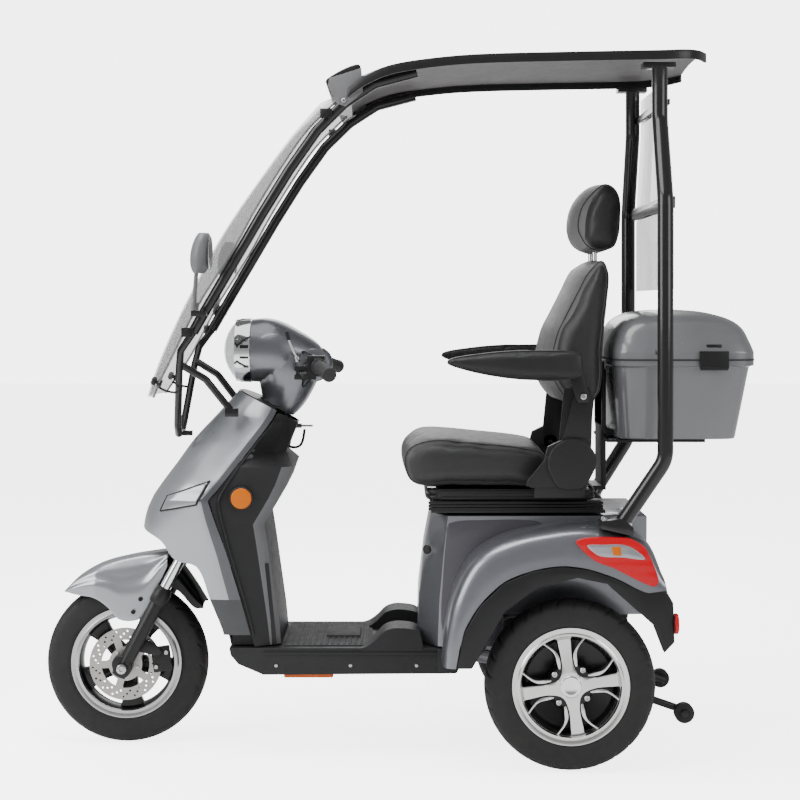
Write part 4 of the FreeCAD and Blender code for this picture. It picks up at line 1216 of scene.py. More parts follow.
@dataclass
class FrontWheel:
    """Tyre, black five-spoke rim with a silver lip, and the bolts of the drilled disc."""

    half: float = 38.0
    first_spoke: float = 48.0

    def build(self) -> None:
        """Makes the front wheel."""
        centre = at(685.6, 0, 203)
        axis = Side.LEFT.outward
        Tyre("front_tyre_treaded", centre, self.half, "front_wheel", "front_tyre").build()
        edge = self.half - 2.3
        lips = []
        for side in Side:
            sign = side.value
            section = ((9, 118.6), (0, 120.5), (0, 124), (2, 128), (0, 134), (0, 138.2), (2.9, 138.4), (3, 127.0),
                       (9, 126.9), (9, 118.6))
            lips.append(turned("lip", [(sign * (edge - back), r) for back, r in section], centre, axis, 128))
        dress(shade(joined("front_rim_lips", lips)), RIM_LIP, "front_wheel")
        barrel = turned("barrel", [(-27, 118), (-27, 126.8), (27, 126.8), (27, 118), (14, 113), (-14, 113),
                                   (-27, 118)], centre, axis, 96)
        hub = turned("hub", [(-42, 9), (-42, 26), (-38, 30), (-14, 32), (14, 32), (28, 34), (31, 42), (45.6, 42),
                             (45.6, 9), (-42, 9)], centre, axis, 64)
        spoke = flat_outline([(26, -21), (60, -19), (88, -22), (106, -27), (116, -34), (116, 34), (106, 27),
                              (88, 22), (60, 19), (26, 21)], -13, 13)
        pocket = flat_outline([(44, -9), (92, -12), (92, 12), (44, 9)], 8, 16)
        spokes = spun(soften(cut(spoke, pocket), 2.6, 3), "spokes", centre, 5, self.first_spoke)
        dress(shade(joined("front_rim_star", [barrel, hub, spokes])), RIM_BLACK, "front_wheel", "front_rim")
        bolts = [Matrix.Translation(centre) @ Matrix.Rotation(math.radians(72 * i + 20), 4, "Y")
                 @ facing(Vector((0.032, 0.050, 0)), axis) for i in range(5)]
        dress(spread("disc_bolts", bolt_head(4.2, 3.0), bolts), ZINC, "front_wheel")


@dataclass
class RearWheel:
    """Tyre and a machined four-spoke rim with clawed windows."""

    side: Side
    half: float = 42.0
    first_spoke: float = 81.4
    track: float = 280.0

    def face_part(self, outline: Sequence[Pair], low: float, high: float, soft: float = 1.0) -> Piece:
        """A part of the outer face, between two distances from the wheel's middle."""
        return soften(flat_outline(outline, *self.side.span(low, high)), soft, 2)

    def window(self) -> list[Pair]:
        """The opening between two spokes, about +X."""
        edge = [(33, 0), (34.5, 9), (39, 17.5), (45, 26), (53, 35.5), (66, 47.5), (81, 60), (91, 68.5), (97, 65),
                (104.8, 51.5), (111.2, 35.5), (115.2, 18.2)]
        return edge + [(116.6, 0)] + [(x, -z) for x, z in reversed(edge[1:])]

    def claws(self) -> list[Piece]:
        """The two thin ribs and the lug seat of one window."""
        rib = [(43, 18.5), (52, 16.2), (62, 15.6), (70, 16.2), (78, 18.6), (86, 23.4), (95, 31), (104, 41),
               (112.5, 50.5), (109.5, 53), (101, 44), (92, 35), (84, 29), (76, 25.8), (68, 24.6), (60, 24.2),
               (52, 23.2), (45, 22.4)]
        parts = []
        for sign in (1, -1):
            corners = [((s + w) * math.sqrt(0.5), sign * (s - w) * math.sqrt(0.5)) for s, w in rib]
            parts.append(self.face_part(smooth_line(corners, 54, True), 20, 32.5, 1.1))
        return parts

    def build(self) -> None:
        """Makes one rear wheel."""
        sign = self.side.value
        label = self.side.label
        body = f"rear_wheel_{label}"
        centre = at(-401.4, sign * self.track, 203)
        axis = self.side.outward
        Tyre(f"rear_tyre_{label}_treaded", centre, self.half, body, f"rear_tyre_{label}", blocks=30,
             groove_mm=2.8, groove_share=0.1, slant=0.45).build()
        edge = self.half - 2.4
        ring = turned("ring", [(22, 112), (30, 117), (36, 117.8), (edge, 119.5), (edge, 124), (edge - 2, 127),
                               (edge - 0.4, 132), (edge, 138.2), (edge - 2.8, 138.4), (edge - 2.8, 126.9),
                               (22, 126.9), (22, 112)], centre, axis, 128)
        dress(shade(ring), ALLOY, body).name = f"rear_rim_{label}_ring"
        plate = turned("plate", [(20, 20), (20, 119), (30, 119), (34.5, 112), (33, 60), (36, 34), (36, 20),
                                 (20, 20)], Vector(), axis, 128)
        cutters = []
        for index in range(4):
            opening = flat_outline(smooth_line(self.window(), 60, True), *self.side.span(10, 45))
            turn = Matrix.Rotation(-math.radians(45 + 90 * index), 4, "Y")
            opening.data.transform(turn)
            cutters.append(opening)
        cut(plate, *cutters)
        plate = spread("plate", soften(plate, 1.1, 2, 40),
                       [Matrix.Translation(centre) @ Matrix.Rotation(-math.radians(self.first_spoke), 4, "Y")])
        claws = spun(joined("claw", self.claws()), "claws", centre, 4, self.first_spoke + 45)
        dress(joined(f"rear_rim_{label}_face", [plate, claws]), ALLOY, body, f"rear_rim_{label}")
        dish = turned("dish", [(-36, 20), (-36, 126.6), (22, 126.6), (20, 112), (2, 104), (-6, 60), (10, 52),
                               (30, 50), (31, 20), (-36, 20)], centre, axis, 96)
        dress(shade(dish), RIM_BLACK, body).name = f"rear_rim_{label}_dish"
        cap = turned("cap", [(30, 0), (30, 25), (36, 25), (38, 23.6), (38.8, 20), (37.8, 17), (38.6, 0)], centre,
                     axis, 64)
        dress(shade(cap), CHROME, body).name = f"hub_cap_{label}"
        bolts = [Matrix.Translation(centre)
                 @ Matrix.Rotation(-math.radians(self.first_spoke + 45 + 90 * i), 4, "Y")
                 @ facing(Vector((0.0475, sign * 0.030, 0)), axis) for i in range(4)]
        dress(spread(f"lug_bolts_{label}", bolt_head(6.4, 5.0), bolts), ZINC, body)


# ------------------------------------------------------------------ steering head


@dataclass
class Cowl:
    """The headlight cowl with its lens, bright ring, grips and switchgear."""

    lamp_height: float = 985.0
    bar: tuple = ((200, 165, 952), (167, 292, 934))

    def headlight(self) -> None:
        """The shell, the bright band, the reflector bowl and the clear dome."""
        dress(refined("headlight_shell"), BODY_SILVER, "steering", "headlight_shell")
        axis = Vector((1, 0, 0))
        origin = at(0, 0, self.lamp_height)
        band = turned("headlight_band", [(372, 79.2), (374, 81.2), (399, 80.4), (405, 78.2), (412, 77.6),
                                         (412, 74), (404, 73), (372, 76.5), (372, 79.2)], origin, axis, 96)
        dress(shade(band), CHROME, "steering")
        bowl = turned("headlight_bowl", [(404, 73.4), (392, 70), (352, 44), (340, 14), (343, 0), (337, 0),
                                         (334, 16), (348, 50), (388, 74.5), (404, 75.6), (404, 73.4)],
                      origin, axis, 96)
        dress(shade(bowl), CHROME, "steering")
        dome = turned("headlight_dome", [(405, 74), (412, 73.8), (424, 60), (434, 43), (440.5, 25), (443.4, 8),
                                         (443.6, 0), (440.6, 0), (437.5, 25), (431, 43), (421.5, 58), (410, 71),
                                         (405, 72), (405, 74)], origin, axis, 96)
        dress(shade(dome), LENS_CLEAR, "steering", "headlight_lens")
        bulb = turned("headlight_bulb", [(342, 0), (342, 9), (362, 9), (366, 7), (384, 7), (390, 4), (392, 0)],
                      origin, axis, 24)
        dress(shade(bulb), LENS_FROST, "steering")
        slots = []
        for z_low, z_high in ((991, 1000), (966, 972)):
            angle = math.asin(((z_low + z_high) / 2 - self.lamp_height) / 80)
            y = 80 * math.cos(angle)
            slots.append(rounded_block("slot", at(376, y - 2, z_low), at(398, y + 1.6, z_high), 1.2))
        dress(both_sides("headlight_slots", joined("slots", slots)), SATIN_BLACK, "steering")

    def grips(self) -> None:
        """Ribbed rubber grips with end caps, and a bright collar beside each."""
        start = Vector(self.bar[0])
        end = Vector(self.bar[1])
        for side, body, node in ((Side.LEFT, "steering", "left_grip"),
                                 (Side.RIGHT, "throttle", "throttle_grip")):
            origin = at(start.x, side.value * start.y, start.z)
            tip = at(end.x, side.value * end.y, end.z)
            profile = [(12, 11.3), (12, 18.5), (15, 19.5), (19, 18.5), (20, 16.2)]
            for rib in range(17):
                low = 22 + rib * 6
                profile += [(low, 15.3), (low + 1.2, 16.6), (low + 4.2, 16.6), (low + 5.4, 15.3)]
            profile += [(126, 16.6), (132, 17.6), (135.5, 16.0), (136.5, 8), (136.5, 0)]
            profile += [(132.5, 0), (132.5, 11.3), (12, 11.3)]
            grip = turned(f"{node}_ribbed", profile, origin, tip - origin, 48)
            dress(shade(grip), GRIP_BLACK, body, node)
            collar = turned(f"bar_collar_{side.label}", [(4, 11.2), (4, 16), (6, 17.5), (10, 17.5), (11, 16),
                                                         (11, 11.2), (4, 11.2)], origin, tip - origin, 40)
            dress(shade(collar), ZINC, "steering")

    def switchgear(self) -> None:
        """Switch blocks, their buttons, the signal stalk and the levers."""
        dress(refined("switch_housings", 3.0, 3), SATIN_BLACK, "steering", "switch_housings")
        for side in Side:
            node = f"brake_lever_{side.label}"
            dress(refined(node, 1.6, 3), SATIN_BLACK, f"{side.label}_lever", node)
        buttons = [rounded_block("button", at(222, y, z), at(230, y + 11, z + 8), 1.5)
                   for y, z in ((118, 958), (136, 958), (118, 942), (136, 942))]
        buttons += [rounded_block("rocker", at(192, 158, z), at(210, 165, z + 9), 1.5) for z in (934, 950, 962)]
        dress(both_sides("switch_buttons", joined("buttons", buttons)), GRIP_BLACK, "steering")
        collar = turned("ring_cover", [(0, 26), (0, 40), (5, 42), (11, 38), (13, 30), (13, 26), (0, 26)],
                        at(214, 66, 950), Vector((-0.1, 1, 0.02)), 48)
        dress(both_sides("bar_exit_rings", collar), BODY_SILVER, "steering")
        stalk = tube("stalk", [at(252, 120, 966), at(262, 122, 986), at(270, 124, 1004), at(274, 125, 1016)], 2.6)
        root = turned("root", [(-6, 0), (-6, 6), (4, 7), (9, 4.5), (9, 0)], at(252, 120, 966),
                      Vector((0.3, 0.05, 1)), 20)
        dress(both_sides("stalk_stems", joined("stalks", [stalk, root])), ZINC, "steering")
        cap = turned("cap", [(0, 0), (0, 3.6), (3, 4.6), (18, 4.6), (22, 3.2), (23, 0)], at(273, 124.6, 1013),
                     Vector((0.25, 0.05, 1)), 20)
        dress(both_sides("stalk_caps", cap), SATIN_BLACK, "steering")

    def hoses(self) -> None:
        """The cable looms that leave each switch block and enter the cowl."""
        runs = []
        for y, z, drop in ((114, 928, 26), (118, 934, 18), (116, 972, -10)):
            runs.append(tube("run", [at(214, y, z), at(228, y - 4, z - drop), at(244, y - 22, z - drop * 1.3),
                                     at(240, y - 46, z - drop * 0.6)], 2.6))
        dress(both_sides("bar_looms", joined("loom", runs)), SATIN_BLACK, "steering")

    def build(self) -> None:
        """Makes the whole steering head."""
        self.headlight()
        self.grips()
        self.switchgear()
        self.hoses()
        dress(refined("handlebar"), TUBE_BLACK, "steering", "handlebar")


# ------------------------------------------------------------------ deck and rear body


@dataclass
class Deck:
    """The floor, its ribbed mat and the orange tray beneath."""

    def build(self) -> None:
        """Makes the deck's pieces."""
        dress(refined("floor_pan", 3.0, 3), BLACK_PLASTIC, "chassis", "floor_pan")
        dress(refined("floor_mat", 0.7), MAT_BLACK, "chassis", "floor_mat")
        dress(refined("belly_tray", 3.0, 3), TRAY_ORANGE, "chassis", "belly_tray")
        hump = smooth_line([(-52, 262), (-50, 300), (-38, 311), (-10, 316), (16, 316), (38, 308), (60, 287),
                            (84, 271), (112, 264), (30, 258)], 60, True)
        dress(both_sides("deck_heels", soften(side_slab("heel", hump, 80, 185), 7, 4)), BLACK_PLASTIC,
              "chassis")
        tail = [(-86, 205), (-86, 267), (-112, 266), (-134, 262), (-144, 250), (-146, 226), (-138, 206)]
        dress(both_sides("deck_tails", soften(side_slab("tail", tail, 140, 183.5), 4, 3)), BLACK_PLASTIC,
              "chassis")
        strip = side_slab("sill", [(-88, 252), (330, 252), (330, 261), (-88, 261)], 183.6, 186.2)
        dress(both_sides("sill_strips", soften(strip, 1.0)), SATIN_BLACK, "chassis")
        heads = [facing(at(x, side.value * 183.8, 226), side.outward) for side in Side for x in (300, 120, -40)]
        dress(spread("sill_screws", bolt_head(4.0, 2.4), heads), ZINC, "chassis")


@dataclass
class RearBody:
    """The seat box, the wheel guards and the rear lamps."""

    arch: tuple = ((-130, 251), (-149, 337), (-185, 399), (-242, 453), (-305, 479), (-376, 491), (-439, 484),
                   (-505, 462), (-572, 430), (-624, 424))
    ridge: tuple = ((-100, 251), (-105, 320), (-128, 423), (-173, 503), (-244, 548), (-352, 573), (-441, 579),
                    (-528, 562), (-584, 538), (-618, 462))
    lamp: tuple = ((-412, 550), (-528, 556), (-558, 544), (-574, 530), (-603, 456), (-590, 443), (-496, 487),
                   (-450, 506))
    lamp_window: tuple = ((-436, 539), (-470, 541), (-520, 541), (-548, 529), (-571, 507), (-520, 511),
                          (-464, 515))
    amber: tuple = ((-492, 536), (-514, 537), (-516, 515), (-496, 516))
    walls: tuple = ((271, 180), (385, 186), (500, 195), (590, 200))
    steps: int = 63

    def guard(self) -> None:
        """The flared silver guard over each wheel."""
        ridge = smooth_line(self.ridge, self.steps + 1)
        arch = smooth_line(self.arch, self.steps + 1)
        section = ((0, 196, 0), (0.22, 262, -0.02), (0.4, 308, 0.02), (0.56, 331, 0.14), (0.7, 342, 0.34),
                   (0.85, 348, 0.66), (1, 349.5, 1))

        def place(u: float, v: float) -> Vector:
            """The point at one share round the wheel and out from the body."""
            index = round(u * self.steps)
            y, fall = read_table(section, v)
            top, low = ridge[index], arch[index]
            return at(top[0] + (low[0] - top[0]) * fall, y, top[1] + (low[1] - top[1]) * fall)

        skin = wall(surface("guard", self.steps, 40, place, turn=False), 3.6, 1.0)
        room = side_slab("room", smooth_line(self.lamp, 48, True), 318, 360)
        cut(skin, room)
        dress(both_sides("rear_guards", shade(skin)), BODY_SILVER, "chassis", "rear_fenders")

    def lamps(self) -> None:
        """Red tail lights with a clear and amber window, and corner reflectors."""
        base = soften(side_slab("red", smooth_line(self.lamp, 60, True), 319, 351), 5.0, 4)
        window_room = side_slab("room", smooth_line(self.lamp_window, 48, True), 347, 356)
        cut(base, window_room)
        dress(both_sides("tail_lenses", shade(base)), LENS_RED, "chassis", "rear_lamps")
        clear = soften(side_slab("clear", smooth_line(self.lamp_window, 48, True), 346.5, 351.6), 1.2, 3)
        dress(both_sides("tail_windows", clear), LENS_FROST, "chassis")
        amber = soften(side_slab("amber", self.amber, 349, 352), 0.8)
        dress(both_sides("tail_ambers", amber), LENS_AMBER, "chassis")
        disc = turned("corner", [(0, 0), (0, 24), (6, 24), (8.5, 22), (9.5, 12), (10, 0)], at(-641, 338, 355),
                      Vector((-1, 0, 0)), 40)
        dress(both_sides("corner_reflectors", shade(disc)), LENS_RED, "chassis")

    def box(self) -> None:
        """The seat box with its framed side panel and lock."""
        dress(refined("rear_body", 9.0, 5), BODY_SILVER, "chassis", "rear_body")
        outline = smooth_line([(-118, 572), (-112, 540), (-104, 440), (-100, 330), (-112, 296), (-140, 300),
                               (-160, 400), (-215, 480), (-290, 530), (-352, 562), (-330, 578), (-200, 580)],
                              64, True)
        corners = [at(x, read_table(self.walls, z)[0] + 0.4, z) for x, z in outline]
        panel = slab("panel", corners, Vector((0, 0.0022, 0)))
        dress(both_sides("side_panels", soften(panel, 1.2, 3)), PANEL_GREY, "chassis")
        lock = turned("lock", [(-2, 0), (-2, 11), (2.5, 11), (4, 9), (3.4, 0)], at(-66, 150, 502.5),
                      Vector((0.55, 0.83, 0)), 32)
        dress(shade(lock), SATIN_BLACK, "chassis").name = "seat_box_lock"

    def build(self) -> None:
        """Makes the rear body."""
        self.box()
        self.guard()
        self.lamps()
        dress(refined("fender_trims", 3.5, 3), SATIN_BLACK, "chassis", "fender_trims")
        dress(refined("plate_holder", 1.5, 2), SATIN_BLACK, "chassis", "plate_holder")


# ------------------------------------------------------------------ canopy


@dataclass
class Canopy:
    """Roof, windscreen, rear window, their tubes and their clamps."""

    roof: tuple = ((-741, 1707, 190, 13), (-715, 1706, 250, 14), (-680, 1705, 280, 15), (-617, 1702, 290, 16),
                   (-400, 1698, 290, 17), (-180, 1692, 290, 18), (-60, 1681, 290, 19), (26, 1666, 285, 22),
                   (86, 1641, 272, 30), (128, 1612, 258, 40))
    drop: float = 22.0
    lip_from: float = 0.94
    screen: tuple = ((872, 634, 606, 118), (915, 620, 583, 176), (960, 603, 556, 214), (1034, 571, 518, 232),
                     (1104, 538, 481, 234), (1242, 466, 394, 234), (1320, 418, 352, 233), (1425, 345, 288, 232),
                     (1520, 275, 222, 230), (1581, 223, 160, 228), (1600, 205, 140, 227))

    def roof_skin(self) -> None:
        """The crowned roof with turned-down edges and its pale liner."""
        front, rear = 128, -741

        def place(u: float, v: float) -> Vector:
            """The point at one share back along the roof and across it."""
            x = front + (rear - front) * u
            edge, half, crown = read_table(self.roof, x)
            across = 1 - 2 * v
            share = min(abs(across) / self.lip_from, 1.0)
            lip = max(abs(across) - self.lip_from, 0) / 0.06
            return at(x, math.copysign(half * share, across), edge + crown * (1 - share**2) - self.drop * lip)

        skin = wall(surface("roof_shell", 90, 66, place, turn=False), 5.0)
        skin.data.materials.append(ROOF_BLACK.build())
        skin.data.materials.append(ROOF_LINER.build())
        for face in skin.data.polygons:
            face.material_index = int(face.normal.z < -0.4 and abs(face.normal.y) < 0.8)
        soften(skin, 1.4, 2, 50)
        dress(skin, ROOF_BLACK, "chassis", "roof_panel")

    def front_lip(self) -> None:
        """The rolled cover over the screen's top, and the tinted corner gussets."""
        outline = smooth_line([(179, 1633), (175, 1643), (132, 1668), (100, 1678), (94, 1670), (104, 1658),
                               (146, 1632), (164, 1624)], 36, True)
        dress(soften(side_slab("screen_top_cover", outline, -222, 222), 4, 3), SATIN_BLACK, "chassis")
        gusset = side_slab("gusset", [(88, 1606), (92, 1664), (140, 1648), (168, 1640), (172, 1622), (150, 1578),
                                      (130, 1572)], 256, 258.4)
        dress(both_sides("roof_gussets", soften(gusset, 0.8)), SMOKE, "chassis")
        bolts = [facing(at(134, side.value * 258, 1586), side.outward) for side in Side]
        dress(spread("gusset_bolts", bolt_head(5.0, 4.0), bolts), ZINC, "chassis")

    def windscreen(self) -> None:
        """The clear sheet, bowed forwards between its tubes, and its edge."""
        low, high = self.screen[0][0], self.screen[-1][0]

        def point(across: float, z: float) -> Vector:
            """A point of the screen's outer face."""
            middle, edge, half = read_table(self.screen, z)
            return at(edge + (middle - edge) * (1 - across**2), half * across, z)

        sheet = surface("windscreen_sheet", 40, 80, lambda u, v: point(2 * u - 1, low + (high - low) * v),
                        turn=False)
        dress(shade(wall(sheet, 4.0)), SCREEN, "chassis", "windscreen")
        rim = [point(0.995, low + (high - low) * step / 24) for step in range(25)]
        dress(both_sides("windscreen_edges", tube("edge", rim, 2.4)), SMOKE, "chassis")
        dress(refined("windscreen_clamps", 2.0, 3), SATIN_BLACK, "chassis", "windscreen_clamps")
        knobs = [facing(point(side.value * 0.93, 912) + Vector((0.004, 0, 0)), Vector((1, 0, 0.35)))
                 for side in Side]
        knob = turned("knob", [(-14, 0), (-14, 9), (-4, 9), (-3.5, 5), (0, 5), (1, 10), (7, 11), (12, 8), (13, 0)],
                      Vector(), Vector((0, 0, 1)), 28)
        dress(spread("screen_foot_knobs", knob, knobs), SATIN_BLACK, "chassis")
        stays = []
        for side in Side:
            foot = point(side.value * 0.86, 900)
            stays.append(tube("stay", [at(541, side.value * 150, 886), at(572, side.value * 148, 884),
                                       foot - Vector((0.008, 0, 0))], 3.0))
        dress(joined("screen_stays", stays), TUBE_BLACK, "chassis")

    def rear(self) -> None:
        """The posts, the window and the pale crossbar covers."""
        dress(refined("canopy_rear_frame", 1.0), TUBE_BLACK, "chassis", "canopy_rear_frame")
        dress(refined("rear_window", 0.6), WINDOW, "chassis", "rear_window")
        bars = [rounded_block("bar", at(-645.8, -half, low), at(-642.2, half, high), 1.2)
                for half, low, high in ((322, 1327, 1355), (240, 1579, 1593))]
        dress(joined("crossbar_covers", bars), ROOF_LINER, "chassis")
        feet = [facing(at(x, side.value * y, z), Vector((-0.15, 0, 1)))
                for side in Side for x, z in ((-536, 584), (-478, 594)) for y in (306, 332)]
        dress(spread("post_foot_bolts", bolt_head(6.5, 6.0), feet), ZINC, "chassis")

    def mirrors(self) -> None:
        """The mirror shells and their oval glasses."""
        for side in Side:
            node = f"mirror_{side.label}"
            dress(refined(node), SHIELD_EDGE, node, node)
            glass = turned("glass", [(0, 0), (0, 1.0), (1.2, 0.96), (1.4, 0)], Vector(), Vector((-1, 0, 0)), 64)
            glass.data.transform(Matrix.Diagonal((1, 52, 40, 1)))
            glass.data.transform(Matrix.Translation(at(445.4, side.value * 318, 1222)))
            dress(shade(glass), MIRROR_GLASS, node).name = f"mirror_glass_{side.label}"

    def build(self) -> None:
        """Makes the whole canopy, and the mirrors on its front tubes."""
        self.roof_skin()
        self.front_lip()
        self.windscreen()
        self.rear()
        dress(refined("canopy_front_frame", 0.8), TUBE_BLACK, "chassis", "canopy_front_frame")
        self.mirrors()


# ------------------------------------------------------------------ seat


@dataclass
class PaddedForm:
    """A stuffed form drawn from the side: a crowned middle strip and two side panels."""

    name: str
    outline: tuple
    half: float
    seam: float
    finish: Finish
    body: str
    node: str
    crown: float = 14.0
    back_crown: float = 5.0
    crown_way: Pair = (1.0, 0.0)
    middle_y: float = 0.0
    shrink: float = 3.0
    voxel_mm: float = 7.0
    cap_mm: float = 8.0
    pressure: float = 4.0
    fill: float = 0.8
    side_from: float = 0.66
    seam_width: float = 6.0
    seam_depth: float = 1.6

    def ring(self) -> list[tuple[float, float, float, float]]:
        """Points of the outline, each with its outward direction."""
        line = smooth_line(self.outline, 80, closed=True)
        area = sum(a[0] * b[1] - b[0] * a[1] for a, b in zip(line, line[1:] + line[:1]))
        sign = 1 if area > 0 else -1
        rows = []
        for before, here, after in zip(line[-1:] + line[:-1], line, line[1:] + line[:1]):
            dx, dz = after[0] - before[0], after[1] - before[1]
            size = math.hypot(dx, dz)
            rows.append((here[0], here[1], sign * dz / size, -sign * dx / size))
        return rows

    def shape(self) -> Piece:
        """The form before it is stuffed."""
        ring = self.ring()
        middle_x = sum(row[0] for row in ring) / len(ring)
        middle_z = sum(row[1] for row in ring) / len(ring)

        def place(u: float, v: float) -> Vector:
            """The point round the outline and across the form."""
            x, z, out_x, out_z = ring[round(u * len(ring)) % len(ring)]
            across = 2 * v - 1
            share = min(abs(across) / self.side_from, 1.0)
            faces = max(0.0, out_x * self.crown_way[0] + out_z * self.crown_way[1])
            inset = self.shrink + (self.back_crown + (self.crown - self.back_crown) * faces) * share**2.4
            x -= out_x * inset
            z -= out_z * inset
            cap = max(abs(across) - self.side_from, 0) / 0.34
            bulge = math.sin(min(cap * 1.5, 1) * math.pi / 2)
            y = self.seam * share + (self.half - self.shrink - self.seam) * bulge
            keep = 1 - cap**1.4
            return at(middle_x + (x - middle_x) * keep, self.middle_y + math.copysign(y, across),
                      middle_z + (z - middle_z) * keep)

        return surface(self.name, len(ring), 36, place)

    def stuff(self, form: Piece) -> Piece:
        """Fills the form by a short cloth run, and smooths it.

        Args:
            form: The form.

        Returns:
            The stuffed form.
        """
        modify(form, "REMESH", mode="VOXEL", voxel_size=self.voxel_mm / 1000)
        start = [vertex.co.copy() for vertex in form.data.vertices]
        cloth = form.modifiers.new("Cloth", "CLOTH")
        cloth.settings.quality = 4
        cloth.settings.use_pressure = True
        cloth.settings.uniform_pressure_force = self.pressure
        cloth.settings.effector_weights.gravity = 0
        cloth.collision_settings.use_collision = False
        for step in range(1, 21):
            bpy.context.scene.frame_set(step)
        pick(form)
        bpy.ops.object.modifier_apply(modifier=cloth.name)
        bpy.context.scene.frame_set(1)
        for vertex, origin in zip(form.data.vertices, start):
            move = vertex.co - origin
            if move.length > self.cap_mm / 1000:
                vertex.co = origin + move.normalized() * self.cap_mm / 1000
        modify(form, "SMOOTH", factor=0.5, iterations=6)
        return form

    def sew(self, form: Piece) -> None:
        """Draws the panel seams into the form.

        Args:
            form: The stuffed form.
        """
        centre = sum((vertex.co for vertex in form.data.vertices), Vector()) / len(form.data.vertices)
        for vertex in form.data.vertices:
            off = abs(abs(vertex.co.y * 1000 - self.middle_y) - self.seam)
            if off < self.seam_width:
                inward = centre - vertex.co
                inward.y = 0
                vertex.co += inward.normalized() * (self.seam_depth / 1000) * (1 - off / self.seam_width)

    def piping(self, form: Piece) -> None:
        """A welt along each side seam, laid on the stuffed surface.

        Args:
            form: The stuffed form.
        """
        welts = []
        for sign in (1, -1):
            points = []
            for x, z, out_x, out_z in self.ring()[::2]:
                probe = at(x + out_x * 8, self.middle_y + sign * self.seam, z + out_z * 8)
                found, place, normal, _ = form.closest_point_on_mesh(probe)
                if found:
                    points.append(place + normal * 0.0002)
            welts.append(tube("welt", points + points[:2], 1.9))
        dress(joined(f"{self.name}_welts", welts), WELT, self.body)

    def build(self) -> Piece:
        """Makes the padded piece and its welts."""
        form = self.stuff(self.shape())
        self.sew(form)
        modify(form, "SUBSURF", levels=1, render_levels=1)
        form.data.materials.clear()
        pick(form)
        bpy.ops.object.shade_smooth()
        self.piping(form)
        nodes = [self.node] if self.node else []
        dress(form, self.finish, self.body, *nodes)
        return form


WELT = Finish("welt_vinyl", "vinyl", (0.014, 0.014, 0.0145), 0.5, grain=0.2, shine=0.3)
SEAT_GREY = Vinyl("seat_grey", "vinyl", (0.036, 0.0357, 0.0363), 0.44, grain=0.4, grain_mm=1.7, mottle=0.12,
                  side_colour=(0.017, 0.017, 0.0175), seam_mm=206, shine=0.35)
BACK_GREY = Vinyl("back_grey", "vinyl", (0.075, 0.0745, 0.0755), 0.44, grain=0.4, grain_mm=1.7, mottle=0.12,
                  side_colour=(0.017, 0.017, 0.0175), seam_mm=186, shine=0.35)
HEAD_GREY = Vinyl("head_grey", "vinyl", (0.105, 0.1045, 0.1055), 0.44, grain=0.4, grain_mm=1.7, mottle=0.12,
                  side_colour=(0.015, 0.015, 0.0155), seam_mm=98, shine=0.35)
ARM_VINYL = Finish("arm_vinyl", "vinyl", (0.013, 0.013, 0.0135), 0.42, grain=0.4, grain_mm=1.5, shine=0.25)


